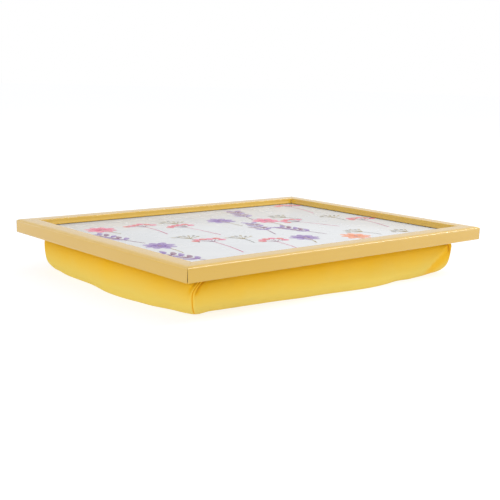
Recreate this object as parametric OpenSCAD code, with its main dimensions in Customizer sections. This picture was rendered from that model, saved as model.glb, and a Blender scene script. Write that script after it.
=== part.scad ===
// Cushioned lap tray: a shallow mitred tray held by hook-and-loop pads on a bead-filled cushion.
// X runs along the long side, Y to the back, Z up. The origin is on the floor, under the centre.

/* [Tray] */
// Length over the rails
tray_l = 440; // [340:1:560]
// Width over the rails
tray_w = 330; // [260:1:430]
// Rounding of the tray's four upright corner edges
corner_r = 2.5; // [1:0.1:4]

/* [Rails] */
// Width of a rail, from its outer face to its lip
rail_w = 21; // [18:0.5:28]
// Height of a rail
rail_h = 15; // [13:0.5:22]
// Width of the crowned shoulder along a rail's outer top edge
shoulder_w = 5; // [3:0.5:8]
// Drop of that shoulder
shoulder_h = 2.6; // [1:0.1:4]
// How far the inner slope leans out, from the rail's top down to its lip
slope_w = 1.6; // [0.5:0.1:3]
// Height of the lip's upright front over the rebate
lip_h = 1; // [0.5:0.1:2]
// Depth of the rebate under the lip, measured across the rail
rebate_w = 8; // [6:0.5:10]
// Height of the rebate
rebate_h = 8; // [7:0.1:10]
// Open line at each mitre joint
mitre_gap = 0.16; // [0.05:0.01:0.4]

/* [Boards] */
// Thickness of the printed melamine sheet
print_t = 0.5; // [0.3:0.1:1]
// Thickness of the tray board
board_t = 3; // [2.5:0.1:3.5]
// Thickness of the backing board
back_t = 2.5; // [2:0.1:3]
// Shadow gap between the lip and the printed sheet
lip_gap = 0.5; // [0.2:0.1:0.8]
// Clearance between the boards' edges and the rebate
board_gap = 0.6; // [0.3:0.1:1.5]

/* [Fastenings] */
// Length of each leg of a corner nail
nail_leg = 6; // [4:0.5:8]
// Thickness of a corner nail
nail_t = 0.6; // [0.4:0.1:1]
// Height of a corner nail
nail_h = 7; // [5:0.5:9]
// Distance of a corner nail from the rails' outer faces
nail_in = 4; // [3:0.5:5]
// Length of a board point
point_l = 12; // [8:0.5:14]
// Width of a board point
point_w = 6; // [4:0.5:8]
// Thickness of a board point
point_t = 0.5; // [0.3:0.1:0.8]
// How far a board point is driven into its rail
point_bite = 6; // [4:0.5:8]
// Distance of the outer board points from the tray's ends
point_in = 80; // [50:1:110]
// Length of a hook or loop pad
pad_l = 60; // [40:1:80]
// Width of a hook or loop pad
pad_w = 25; // [16:1:30]
// Thickness of a hook pad
hook_t = 1.25; // [1:0.05:1.8]
// Thickness of a loop pad
loop_t = 1.25; // [0.8:0.05:1.8]
// Distance of a pad's centre from the cushion's corner, along X and along Y
pad_in = 65.5; // [60:0.5:80]
// Width of a staple's crown
staple_l = 10; // [6:0.5:14]
// Thickness of the staple wire
staple_t = 0.5; // [0.3:0.05:0.6]
// How far a staple's legs reach into the backing board
staple_bite = 1.8; // [1:0.1:1.9]
// Distance of a staple from the middle of its pad
staple_out = 20; // [10:1:24]

/* [Cushion] */
// Height of the cushion
cushion_h = 42; // [36:0.5:60]
// How far the cushion's corners lie inside the tray's outer faces
cushion_in = 21; // [18:0.5:32]
// Swell of the front, left and right sides at their middles
side_swell = 6; // [0:0.5:9]
// How far the top seam is drawn in from the widest line
top_draw = 5; // [3:0.5:16]
// Height at which the sides start to lean in towards the top seam
lean_z = 33; // [28:0.5:35]
// Height at which the sides start to turn under
turn_z = 12; // [8:0.5:12]
// How far the sides turn under
turn_in = 10; // [6:0.5:14]
// How much further the four corner tips turn under
tip_in = 14; // [0:0.5:18]
// Height from which the tips turn under
tip_z = 30; // [24:0.5:32]
// Length of side over which a tip turns under
tip_run = 62; // [30:1:90]
// The same along the back, clear of the zip
back_tip_run = 36; // [20:1:36]
// Rounding of the corners in plan
seam_r = 6; // [4:0.5:10]
// Height of the ridge along each corner seam
seam_ridge = 0.8; // [0:0.1:1.5]
// Thickness of the cover's cloth
cloth_t = 1; // [0.6:0.1:1.4]
// Thickness of the liner's cloth
liner_t = 0.5; // [0.3:0.1:0.8]
// Slack between the cover, the liner and the beads
slack = 0.3; // [0.2:0.05:0.5]
// Depth pressed flat where the cushion stands on the floor
press_flat = 0.5; // [0.3:0.1:0.8]

/* [Zip] */
// Distance from the cushion's corners to the ends of the zip
zip_end = 74; // [72:0.5:90]
// Height of the zip's middle over the start of the turn
zip_up = 6.5; // [5:0.5:8]
// Width of the meshed teeth
chain_w = 3.2; // [2.8:0.1:3.6]
// Thickness of the teeth
chain_t = 1.6; // [1.2:0.1:1.8]
// Spacing of the teeth along one row
tooth_pitch = 3; // [2.4:0.1:4]
// Play between the teeth of the two rows
tooth_play = 0.15; // [0.1:0.01:0.25]
// Height of a row's rib along the tape's edge
rib_w = 0.6; // [0.4:0.1:0.7]
// Thickness of the zip's tapes
tape_t = 0.5; // [0.4:0.1:0.8]
// Width of one zip tape
tape_w = 4.9; // [4.2:0.1:5]
// Length of the stops
stop_l = 2.5; // [2:0.1:4]
// Length of the slider
slider_l = 10; // [8:0.5:14]
// Width of the slider
slider_w = 7; // [6.6:0.1:7.4]
// Thickness of the slider's two plates
plate_t = 0.7; // [0.5:0.1:0.9]
// Running clearance of the slider
slider_play = 0.25; // [0.15:0.01:0.35]
// Height of the slit beyond the slider, above and below
slit_play = 0.5; // [0.3:0.1:0.8]
// Width of the slider's rims
flange_w = 0.6; // [0.4:0.1:0.8]
// Width of the wedge that parts the teeth
wedge_w = 2.2; // [1.6:0.1:2.4]
// Length of the wedge
wedge_l = 1.6; // [1:0.1:2]
// Radius of the pin that carries the pull
pin_r = 0.5; // [0.4:0.05:0.6]
// Running clearance of the pull on its pin
pin_play = 0.06; // [0.03:0.01:0.1]
// Wall of the pull's eye
eye_wall = 0.55; // [0.5:0.05:0.8]
// Thickness of the pin's two ears
ear_t = 0.8; // [0.6:0.1:1]
// Width of the pull's eye and neck
neck_w = 2.6; // [2:0.1:2.8]
// Side play of the pull between its ears
neck_play = 0.15; // [0.1:0.01:0.25]
// Length of the pull, from its pin to its tip
pull_l = 24; // [16:0.5:32]
// Width of the pull's grip
pull_w = 6; // [4:0.5:8]
// Thickness of the pull
pull_t = 1; // [0.8:0.1:1.2]
// Radius of the hole in the pull's grip
pull_hole_r = 1.4; // [0.8:0.1:1.8]

/* [Hidden] */

$fn = 48;
// Longer than any cut needs, to run a cutter out of a face
over = 1;

// Levels of the tray's parts over the floor, worked up from the cushion
pad_z = cushion_h + loop_t;
back_z = pad_z + hook_t;
board_z = back_z + back_t;
print_z = board_z + board_t;
top_of_print = print_z + print_t;
rail_z = top_of_print + lip_gap - rebate_h;

// Plan sizes of the boards in the rebate
rebate_in = rail_w - rebate_w;
board_l = tray_l - 2 * (rebate_in + board_gap);
board_w = tray_w - 2 * (rebate_in + board_gap);

// Plan sizes of the cushion at its corners, and of its top seam
cushion_l = tray_l - 2 * cushion_in;
cushion_w = tray_w - 2 * cushion_in;
rim_z = cushion_h - cloth_t;
pad_x = cushion_l / 2 - pad_in;
pad_y = cushion_w / 2 - pad_in;

// Places along and across the zip, in the upright stretch of the back side
zip_z = turn_z + zip_up;
chain_y = cushion_w / 2 - cloth_t - tape_t / 2;
zip_l = cushion_l - 2 * zip_end;
slit_h = slider_w + 2 * slit_play;
slider_x = -zip_l / 2 + stop_l + slider_play + slider_l / 2;
wedge_x = slider_x - slider_l / 2;
teeth_x = wedge_x + wedge_l + slider_play;
teeth_l = zip_l / 2 - stop_l - teeth_x;
tooth_count = floor(teeth_l / tooth_pitch);
plate_y = chain_t / 2 + slider_play;
pin_y = chain_y + plate_y + plate_t + pin_r + pin_play + eye_wall + slider_play;
zip_room = tape_t / 2 + plate_y + plate_t;

// Steps along a long side, a short side and a corner of the cushion
long_steps = 10;
short_steps = 8;
corner_steps = 4;
lean_steps = 3;
upright_steps = 3;
turn_steps = 4;
// Shares of the way from the turned edge to the middle where the underside has its rings
base_shares = [0.35, 0.75];
// Width left between the innermost ring's two long sides
base_core = 20;
// Powers of the curves by which the sides lean in, the tips fade along a side, and turn under
lean_power = 2;
tip_power = 1.5;
tip_curve = 2.2;

// A run from -1 to 1 that is finer towards its ends
function spread(k, n) = sin(90 * (2 * k / n - 1));

// How near a place on a side is to the corner, from 0 at the run's start to 1
function nearness(u, half, run) = max(0, 1 - (1 - abs(u)) * half / run);

// One side: start and end points, outward direction and swell, as [x, y, nearness] points
function side_points(a, b, out, swell, n, run) = [
    for (k = [0:n])
        let (u = spread(k, n), mid = (a + b) / 2, half = (b - a) / 2)
        let (p = mid + half * u + out * swell * cos(90 * u))
        [p.x, p.y, nearness(u, norm(half), run)]
];

// The inner points of one corner, with the seam's ridge in the middle
function corner_points(c, from, n) = [
    for (k = [1:n - 1])
        let (a = from + 90 * k / n, r = seam_r + (2 * k == n ? seam_ridge : 0))
        [c.x + r * cos(a), c.y + r * sin(a), 1]
];

// The cushion's outline in plan, drawn in by inset, and by room more along the back
function outline(inset, room) =
    let (
        x = cushion_l / 2 - inset,
        f = cushion_w / 2 - inset,
        b = f - room,
        r = seam_r,
        s = min(side_swell, side_swell * f / (cushion_w / 2))
    )
    concat(
        side_points([-x + r, -f], [x - r, -f], [0, -1], s, long_steps, tip_run),
        corner_points([x - r, -f + r], -90, corner_steps),
        side_points([x, -f + r], [x, b - r], [1, 0], s, short_steps, tip_run),
        corner_points([x - r, b - r], 0, corner_steps),
        side_points([x - r, b], [-x + r, b], [0, 1], 0, long_steps, back_tip_run),
        corner_points([-x + r, b - r], 90, corner_steps),
        side_points([-x, b - r], [-x, -f + r], [-1, 0], s, short_steps, tip_run),
        corner_points([-x + r, -f + r], 180, corner_steps)
    );

// How much of its turn under a tip has at a height
function tip_share(z) = pow(max(0, 1 - z / tip_z), tip_curve);

// The section from the rim to the underside's middle: inset, height, share of the tip's turn
// under, and the direction in which a cloth's thickness is laid, inward and up
function section(rim) = concat(
    [for (k = [0:lean_steps])
        let (t = 1 - k / lean_steps)
        [top_draw * pow(t, lean_power), lean_z + (rim - lean_z) * t, 0, 1, 0]],
    [for (k = [1:upright_steps - 1])
        let (z = lean_z + (turn_z - lean_z) * k / upright_steps)
        [0, z, tip_share(z), 1, 0]],
    [for (k = [0:turn_steps])
        let (a = 90 * k / turn_steps)
        let (z = max(0, (turn_z + press_flat) * (1 - sin(a)) - press_flat))
        [turn_in * (1 - cos(a)), z, tip_share(z), cos(a), sin(a)]],
    [for (f = base_shares)
        [turn_in + f * (cushion_w / 2 - turn_in - base_core / 2), 0, pow(1 - f, 2), 0, 1]]
);

// All rings of the cushion's form, laid inward by depth
function rings(depth, rim, room) = [
    for (s = section(rim))
        let (inset = s[0] + depth * s[3])
        let (here = outline(inset, room), next = outline(inset + 1, room))
        [for (i = [0:len(here) - 1])
            let (turn = tip_in * s[2] * pow(here[i][2], tip_power))
            let (p = here[i] + turn * (next[i] - here[i]))
            [p[0], p[1], s[1] + depth * s[4]]]
];

function flat(lists) = [for (l = lists) each l];

// Triangles between ring j and the ring under it, and a fan to one point, seen from outside
function band(j, n, start) = [
    for (i = [0:n - 1])
        let (a = start + j * n + i, b = start + j * n + (i + 1) % n)
        each [[a, b, b + n], [a, b + n, a + n]]
];
function fan(j, n, start, tip) = [
    for (i = [0:n - 1])
        [start + j * n + i, start + j * n + (i + 1) % n, tip]
];
function turned(faces) = [for (f = faces) [f[2], f[1], f[0]]];

// One skin's triangles, from its rim down to the point under its middle
function skin(n, m, start) = concat(
    flat([for (j = [0:m - 2]) band(j, n, start)]),
    fan(m - 1, n, start, start + n * m)
);

// A closed solid of the cushion's form, laid inward by depth
module cushion_solid(depth, rim, room) {
    rows = rings(depth, rim, room);
    n = len(rows[0]);
    m = len(rows);
    points = concat(flat(rows), [[0, 0, depth], [0, 0, rim]]);
    polyhedron(points, concat(skin(n, m, 0), turned(fan(0, n, 0, n * m + 1))));
}

// A tub of cloth of the cushion's form, open at its rim
module cushion_tub(depth, cloth, rim, room) {
    outer = rings(depth, rim, room);
    inner = rings(depth + cloth, rim, room);
    n = len(outer[0]);
    m = len(outer);
    second = n * m + 1;
    rim_faces = [
        for (i = [0:n - 1])
            let (k = (i + 1) % n)
            each [[k, i, second + i], [k, second + i, second + k]]
    ];
    points = concat(flat(outer), [[0, 0, depth]], flat(inner), [[0, 0, depth + cloth]]);
    polyhedron(points, concat(skin(n, m, 0), turned(skin(n, m, second)), rim_faces));
}

// A flat cloth with the outline of the cushion's rim
module rim_cloth(depth, cloth, z, room) {
    translate([0, 0, z])
        linear_extrude(cloth)
            polygon([for (p = outline(top_draw + depth, room)) [p[0], p[1]]]);
}

// A box from two opposite corners
module span(a, b) {
    translate(a)
        cube(b - a);
}

// The four corners of a rectangle, as copies turned by mirror
module four_corners() {
    for (sx = [0, 1], sy = [0, 1])
        mirror([sx, 0, 0])
            mirror([0, sy, 0])
                children();
}

// A rail's section: X from the outer face inward, Y up from the underside
module rail_section() {
    shoulder = [
        for (a = [180:-15:90])
            [shoulder_w * (1 + cos(a)), rail_h - shoulder_h * (1 - sin(a))]
    ];
    polygon(concat(
        [[0, 0]],
        shoulder,
        [[rail_w - slope_w, rail_h], [rail_w, rebate_h + lip_h], [rail_w, rebate_h],
            [rebate_in, rebate_h], [rebate_in, 0]]
    ));
}

// The tray's plan with its rounded corner edges
module tray_plan() {
    difference() {
        square([tray_l, tray_w], center = true);
        four_corners()
            translate([tray_l / 2 - corner_r, tray_w / 2 - corner_r])
                difference() {
                    square(corner_r + over);
                    circle(corner_r);
                }
    }
}

// One mitred rail of the given length, lying along X with its outer face at -depth / 2
module rail(length, depth) {
    cut = mitre_gap / sqrt(2);
    intersection() {
        translate([-length / 2, -depth / 2, rail_z])
            rotate([90, 0, 90])
                linear_extrude(length)
                    rail_section();
        translate([0, 0, rail_z - over])
            linear_extrude(rail_h + 2 * over)
                polygon([
                    [-length / 2 + cut, -depth / 2],
                    [length / 2 - cut, -depth / 2],
                    [length / 2 - cut - rail_w, -depth / 2 + rail_w],
                    [-length / 2 + cut + rail_w, -depth / 2 + rail_w]
                ]);
    }
}

// What every rail loses: the rounded corner edges and the seats of the nails and points
module rail_cuts() {
    translate([0, 0, rail_z - over])
        linear_extrude(rail_h + 2 * over)
            difference() {
                square([tray_l + 2 * over, tray_w + 2 * over], center = true);
                tray_plan();
            }
    corner_nails();
    points();
}

module front_rail() {
    color([0.92, 0.77, 0.44])
        difference() {
            rail(tray_l, tray_w);
            rail_cuts();
        }
}

module back_rail() {
    color([0.92, 0.77, 0.44])
        difference() {
            rotate(180)
                rail(tray_l, tray_w);
            rail_cuts();
        }
}

module left_rail() {
    color([0.87, 0.73, 0.42])
        difference() {
            rotate(-90)
                rail(tray_w, tray_l);
            rail_cuts();
        }
}

module right_rail() {
    color([0.87, 0.73, 0.42])
        difference() {
            rotate(90)
                rail(tray_w, tray_l);
            rail_cuts();
        }
}

// Angled nails driven up across each mitre, one leg in each rail
module corner_nails() {
    four_corners()
        translate([tray_l / 2 - nail_in, tray_w / 2 - nail_in, rail_z]) {
            span([-nail_leg, -nail_t, 0], [0, 0, nail_h]);
            span([-nail_t, -nail_leg, 0], [0, 0, nail_h]);
        }
}

module corner_v_nails() {
    color([0.62, 0.63, 0.65])
        corner_nails();
}

// Flat points driven into the rebate's wall, under the backing board
module points() {
    low = back_z - point_t;
    long_wall = tray_w / 2 - rebate_in;
    short_wall = tray_l / 2 - rebate_in;
    reach = point_l - point_bite;
    for (turn = [0, 180], x = [point_in - tray_l / 2, 0, tray_l / 2 - point_in])
        rotate(turn)
            span([x - point_w / 2, long_wall - reach, low],
                [x + point_w / 2, long_wall + point_bite, back_z]);
    for (turn = [0, 180], y = [point_in - tray_w / 2, tray_w / 2 - point_in])
        rotate(turn)
            span([short_wall - reach, y - point_w / 2, low],
                [short_wall + point_bite, y + point_w / 2, back_z]);
}

module board_points() {
    color([0.62, 0.63, 0.65])
        points();
}

// A board in the rebate, from its underside up
module rebate_board(z, thickness) {
    span([-board_l / 2, -board_w / 2, z], [board_l / 2, board_w / 2, z + thickness]);
}

module print_sheet() {
    color([0.88, 0.89, 0.89])
        rebate_board(print_z, print_t);
}

module tray_board() {
    color([0.62, 0.47, 0.32])
        rebate_board(board_z, board_t);
}

module backing_board() {
    color([0.50, 0.36, 0.24])
        difference() {
            rebate_board(back_z, back_t);
            staples();
        }
}

// The four pads of one layer
module pads(z, thickness) {
    four_corners()
        translate([pad_x, pad_y, z])
            span([-pad_l / 2, -pad_w / 2, 0], [pad_l / 2, pad_w / 2, thickness]);
}

// Two staples to a pad, their crowns sunk among the hooks
module staples() {
    crown_z = pad_z + (hook_t - staple_t) / 2;
    four_corners()
        for (side = [-1, 1])
            translate([pad_x + side * staple_out, pad_y, 0]) {
                span([-staple_t / 2, -staple_l / 2, crown_z],
                    [staple_t / 2, staple_l / 2, crown_z + staple_t]);
                for (end = [-1, 1])
                    translate([0, end * (staple_l - staple_t) / 2, 0])
                        span([-staple_t / 2, -staple_t / 2, crown_z],
                            [staple_t / 2, staple_t / 2, back_z + staple_bite]);
            }
}

module hook_pads() {
    crown_z = pad_z + (hook_t - staple_t) / 2;
    color([0.93, 0.92, 0.88])
        difference() {
            pads(pad_z, hook_t);
            staples();
            // The hooks stand open under each crown
            four_corners()
                for (side = [-1, 1])
                    translate([pad_x + side * staple_out, pad_y, 0])
                        span([-staple_t / 2, -staple_l / 2, pad_z - over],
                            [staple_t / 2, staple_l / 2, crown_z]);
        }
}

module hook_staples() {
    color([0.72, 0.72, 0.74])
        staples();
}

module loop_pads() {
    color([0.90, 0.74, 0.25])
        pads(cushion_h, loop_t);
}

module cushion_top_panel() {
    color([0.89, 0.68, 0.18])
        rim_cloth(0, cloth_t, rim_z, 0);
}

module cushion_cover() {
    color([0.90, 0.70, 0.22])
        difference() {
            cushion_tub(0, cloth_t, rim_z, 0);
            // The zip's slit in the back side
            translate([0, chain_y, zip_z])
                cube([zip_l, 4 * cloth_t, slit_h], center = true);
        }
}

module inner_liner() {
    depth = cloth_t + slack;
    sheet_z = rim_z - slack - liner_t;
    color([0.95, 0.94, 0.90]) {
        cushion_tub(depth, liner_t, sheet_z, zip_room);
        rim_cloth(depth, liner_t, sheet_z, zip_room);
    }
}

module bead_fill() {
    depth = cloth_t + liner_t + 2 * slack;
    color([0.97, 0.97, 0.97])
        cushion_solid(depth, rim_z - liner_t - 2 * slack, zip_room);
}

// The two tapes, sewn behind the slit's edges
module zip_tapes() {
    color([0.86, 0.66, 0.20])
        for (side = [-1, 1])
            translate([0, chain_y, zip_z + side * (chain_w + tape_w) / 2])
                cube([zip_l + 2 * stop_l, tape_t, tape_w], center = true);
}

// One row: a rib along the tape's edge and its teeth, which reach across to the other rib
module tooth_row(shift) {
    inner = chain_w / 2 - rib_w;
    tooth_l = tooth_pitch / 2 - tooth_play;
    span([0, -chain_t / 2, inner], [teeth_l, chain_t / 2, chain_w / 2]);
    for (k = [0:tooth_count - 1])
        translate([k * tooth_pitch + shift, 0, 0])
            span([tooth_play / 2, -chain_t / 2, -inner + tooth_play],
                [tooth_play / 2 + tooth_l, chain_t / 2, inner + rib_w / 2]);
}

module zip_teeth() {
    color([0.88, 0.70, 0.26])
        translate([teeth_x, chain_y, zip_z]) {
            tooth_row(0);
            mirror([0, 0, 1])
                tooth_row(tooth_pitch / 2);
        }
}

// Two stops beside the closed end and one across the open end
module zip_stops() {
    color([0.75, 0.70, 0.55])
        translate([0, chain_y, zip_z]) {
            for (side = [0, 1])
                mirror([0, 0, side])
                    span([-zip_l / 2, -chain_t / 2, chain_w / 2 - rib_w],
                        [stop_l - zip_l / 2, chain_t / 2, chain_w / 2]);
            span([zip_l / 2 - stop_l, -chain_t / 2, -chain_w / 2],
                [zip_l / 2, chain_t / 2, chain_w / 2]);
        }
}

// Two plates held by the wedge, with rims over the tapes, and ears with a pin for the pull
module zip_slider() {
    rim_y = tape_t / 2 + slider_play;
    color([0.82, 0.76, 0.58])
        translate([slider_x, chain_y, zip_z]) {
            for (side = [0, 1])
                mirror([0, side, 0]) {
                    span([-slider_l / 2, plate_y, -slider_w / 2],
                        [slider_l / 2, plate_y + plate_t, slider_w / 2]);
                    for (edge = [0, 1])
                        mirror([0, 0, edge])
                            span([-slider_l / 2, rim_y, slider_w / 2 - flange_w],
                                [slider_l / 2, plate_y, slider_w / 2]);
                }
            span([-slider_l / 2, -plate_y, -wedge_w / 2],
                [wedge_l - slider_l / 2, plate_y, wedge_w / 2]);
            slider_ears();
        }
}

module slider_ears() {
    inner = neck_w / 2 + neck_play;
    pin_at = pin_y - chain_y;
    ear_r = pin_r + eye_wall;
    for (edge = [0, 1])
        mirror([0, 0, edge])
            translate([0, 0, inner]) {
                translate([0, pin_at, 0])
                    cylinder(r = ear_r, h = ear_t);
                span([-ear_r, plate_y + plate_t / 2, 0], [ear_r, pin_at, ear_t]);
            }
    translate([0, pin_at, -inner - ear_t / 2])
        cylinder(r = pin_r, h = 2 * inner + ear_t);
}

// An eye round the pin, a neck and a grip with a round end and a hole
module zip_pull() {
    bore_r = pin_r + pin_play;
    eye_r = bore_r + eye_wall;
    grip_x = eye_r + neck_w;
    color([0.82, 0.76, 0.58])
        translate([slider_x, pin_y, zip_z])
            difference() {
                union() {
                    cylinder(r = eye_r, h = neck_w, center = true);
                    span([0, -pull_t / 2, -neck_w / 2], [grip_x + over, pull_t / 2, neck_w / 2]);
                    span([grip_x, -pull_t / 2, -pull_w / 2],
                        [pull_l - pull_w / 2, pull_t / 2, pull_w / 2]);
                    translate([pull_l - pull_w / 2, 0, 0])
                        rotate([90, 0, 0])
                            cylinder(r = pull_w / 2, h = pull_t, center = true);
                }
                cylinder(r = bore_r, h = neck_w + 2 * over, center = true);
                translate([pull_l - pull_w / 2, 0, 0])
                    rotate([90, 0, 0])
                        cylinder(r = pull_hole_r, h = pull_t + 2 * over, center = true);
            }
}

front_rail();
back_rail();
left_rail();
right_rail();
corner_v_nails();
print_sheet();
tray_board();
backing_board();
board_points();
hook_pads();
hook_staples();
loop_pads();
cushion_top_panel();
cushion_cover();
inner_liner();
bead_fill();
zip_tapes();
zip_teeth();
zip_stops();
zip_slider();
zip_pull();
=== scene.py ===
"""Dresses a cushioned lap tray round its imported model.

Four mitred and lacquered rails hold a printed melamine panel. Hook-and-loop pads hold the tray
on a bead-filled cushion, and a zip closes the cushion's cover along the back.
All lengths are in metres: X along the long side, Y to the back, Z up from the floor.
"""

import logging
import math
import random
from contextlib import contextmanager
from dataclasses import dataclass, field, replace
from enum import Enum
from functools import cache
from typing import Any, Callable, ClassVar, Iterator, Sequence

import bmesh
import bpy
from mathutils import Matrix, Vector, noise


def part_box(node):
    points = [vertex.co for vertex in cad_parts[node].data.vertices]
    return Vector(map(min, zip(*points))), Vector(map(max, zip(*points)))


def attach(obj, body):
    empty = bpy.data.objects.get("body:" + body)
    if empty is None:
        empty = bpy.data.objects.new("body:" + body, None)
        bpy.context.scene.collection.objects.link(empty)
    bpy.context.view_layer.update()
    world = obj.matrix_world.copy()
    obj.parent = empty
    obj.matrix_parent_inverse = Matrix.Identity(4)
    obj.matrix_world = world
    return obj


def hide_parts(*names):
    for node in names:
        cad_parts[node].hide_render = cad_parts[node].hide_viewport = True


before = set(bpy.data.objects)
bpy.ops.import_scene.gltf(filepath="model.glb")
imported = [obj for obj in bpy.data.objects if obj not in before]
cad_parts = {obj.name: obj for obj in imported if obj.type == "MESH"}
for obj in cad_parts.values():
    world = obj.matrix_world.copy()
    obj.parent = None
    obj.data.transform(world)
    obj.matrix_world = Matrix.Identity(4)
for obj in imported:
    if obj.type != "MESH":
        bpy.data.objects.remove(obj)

log = logging.getLogger("lap_tray")
MM = 0.001
NEAR = 0.01 * MM
Point = tuple[float, float]
Place = Sequence[float]
Obj = bpy.types.Object
Node = bpy.types.Node
Socket = bpy.types.NodeSocket


class Body(Enum):
    """The bodies that move on their own."""

    CUSHION = "cushion"
    TRAY = "tray"
    SLIDER = "zip_slider"
    PULL = "zip_pull"


class Pick(Enum):
    """What a selection in edit mode is made of."""

    VERT = (True, False, False)
    EDGE = (False, True, False)
    FACE = (False, False, True)


def srgb(red: int, green: int, blue: int) -> tuple[float, float, float, float]:
    """Turns a colour as a screen shows it, 0 to 255, into the renderer's linear one."""

    def linear(value: float) -> float:
        """Undoes the screen's curve for one channel."""
        value /= 255
        return value / 12.92 if value <= 0.04045 else ((value + 0.055) / 1.055) ** 2.4

    return (linear(red), linear(green), linear(blue), 1.0)


def smooth(low: float, high: float, value: float) -> float:
    """Rises from 0 at low to 1 at high, level at both ends."""
    share = min(1.0, max(0.0, (value - low) / (high - low)))
    return share * share * (3 - 2 * share)


def hump(distance: float, width: float) -> float:
    """A round hump of height 1 that fades over about two widths."""
    return math.exp(-((distance / width) ** 2))


def beyond(at: Point, angle: float, distance: float) -> Point:
    """The point that lies a distance away at an angle, in plan."""
    return at[0] + math.cos(angle) * distance, at[1] + math.sin(angle) * distance


def extent(edge: Any, axis: int) -> float:
    """How long an edge is along one axis."""
    return abs(edge.verts[0].co[axis] - edge.verts[1].co[axis])


class Bench:
    """The modelling steps that most pieces share."""

    @staticmethod
    def clear() -> None:
        """Deselects every object."""
        bpy.ops.object.select_all(action="DESELECT")

    @staticmethod
    def hold(obj: Obj) -> None:
        """Makes obj the only selected object, and the active one."""
        Bench.clear()
        obj.select_set(True)
        bpy.context.view_layer.objects.active = obj

    @staticmethod
    @contextmanager
    def editing(obj: Obj) -> Iterator[None]:
        """Opens obj in edit mode for a with block."""
        Bench.hold(obj)
        bpy.ops.object.mode_set(mode="EDIT")
        yield
        bpy.ops.object.mode_set(mode="OBJECT")

    @staticmethod
    def pick(obj: Obj, kind: Pick, test: Callable[[Any], bool]) -> None:
        """Selects in edit mode the parts of obj's mesh that pass a test.

        Args:
            obj: The object that is open in edit mode.
            kind: Whether vertices, edges or faces are tested.
            test: Called with each one.
        """
        bpy.context.tool_settings.mesh_select_mode = kind.value
        work = bmesh.from_edit_mesh(obj.data)
        work.select_mode = {kind.name}
        for part in (*work.faces, *work.edges, *work.verts):
            part.select_set(False)
        wanted = {Pick.VERT: work.verts, Pick.EDGE: work.edges, Pick.FACE: work.faces}[kind]
        for part in [part for part in wanted if test(part)]:
            part.select_set(True)
        work.select_flush_mode()
        bmesh.update_edit_mesh(obj.data)

    @staticmethod
    def slice_at(point: Place, normal: Place, drop: bool = False) -> None:
        """Cuts the open mesh on a plane, and drops what lies behind it if asked."""
        bpy.ops.mesh.select_all(action="SELECT")
        bpy.ops.mesh.bisect(plane_co=point, plane_no=normal, clear_inner=drop, use_fill=drop)

    @staticmethod
    def stretch(value: Place, centre: Place) -> None:
        """Scales all of the open mesh about a centre."""
        bpy.ops.mesh.select_all(action="SELECT")
        bpy.ops.transform.resize(value=value, center_override=centre)

    @staticmethod
    def round_off(radius: float, segments: int) -> None:
        """Rounds the open mesh's selected edges."""
        bpy.ops.mesh.bevel(offset=radius, segments=segments, affect="EDGES")

    @staticmethod
    def face_outward(obj: Obj) -> None:
        """Turns every face of obj outwards."""
        with Bench.editing(obj):
            bpy.ops.mesh.select_all(action="SELECT")
            bpy.ops.mesh.normals_make_consistent(inside=False)

    @staticmethod
    def settle(obj: Obj) -> Obj:
        """Puts obj's place, turn and scale into its mesh."""
        Bench.hold(obj)
        bpy.ops.object.transform_apply(location=True, rotation=True, scale=True)
        return obj

    @staticmethod
    def block(name: str, corner: Place, other: Place) -> Obj:
        """Adds a box between two opposite corners, to be shaped further.

        Args:
            name: The new object's name.
            corner: One corner.
            other: The corner across from it.

        Returns:
            The object, with its place in its mesh.
        """
        low = Vector([min(pair) for pair in zip(corner, other)])
        high = Vector([max(pair) for pair in zip(corner, other)])
        Bench.clear()
        bpy.ops.mesh.primitive_cube_add(size=1, location=(low + high) / 2)
        obj = bpy.context.object
        obj.scale = high - low
        obj.name = name
        return Bench.settle(obj)

    @staticmethod
    def rod(name: str, start: Place, end: Place, radius: float, sides: int = 32) -> Obj:
        """Adds a round rod between two points.

        Args:
            name: The new object's name.
            start: The middle of one end.
            end: The middle of the other end.
            radius: The rod's radius.
            sides: How many faces go round it.

        Returns:
            The object, with its place in its mesh.
        """
        start, end = Vector(start), Vector(end)
        Bench.clear()
        bpy.ops.mesh.primitive_cylinder_add(
            vertices=sides, radius=radius, depth=(end - start).length, location=(start + end) / 2)
        obj = bpy.context.object
        obj.rotation_euler = (end - start).to_track_quat("Z", "Y").to_euler()
        obj.name = name
        return Bench.settle(obj)

    @staticmethod
    def modify(obj: Obj, kind: str, **settings: Any) -> Obj:
        """Adds a modifier to obj, sets it and applies it.

        Args:
            obj: The object to change.
            kind: The modifier's type.
            **settings: The modifier's own properties.

        Returns:
            The same object.
        """
        modifier = obj.modifiers.new(kind.title(), kind)
        for key, value in settings.items():
            setattr(modifier, key, value)
        Bench.hold(obj)
        bpy.ops.object.modifier_apply(modifier=modifier.name)
        return obj

    @staticmethod
    def cut(obj: Obj, tool: Obj, how: str = "DIFFERENCE") -> None:
        """Cuts a tool out of obj, or joins it as one solid, and removes the tool."""
        Bench.modify(obj, "BOOLEAN", object=tool, operation=how, solver="EXACT")
        bpy.data.objects.remove(tool)

    @staticmethod
    def soften(obj: Obj, width: float, segments: int = 2, angle: float = 30) -> Obj:
        """Rounds every edge of obj that is sharper than an angle."""
        return Bench.modify(obj, "BEVEL", width=width, segments=segments,
                            limit_method="ANGLE", angle_limit=math.radians(angle))

    @staticmethod
    def join(parts: Sequence[Obj]) -> Obj:
        """Joins objects into the first of them and returns it.

        Args:
            parts: The objects.

        Returns:
            The first of them, which holds them all.
        """
        Bench.hold(parts[0])
        for part in parts[1:]:
            part.select_set(True)
        bpy.ops.object.join()
        return parts[0]

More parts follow.
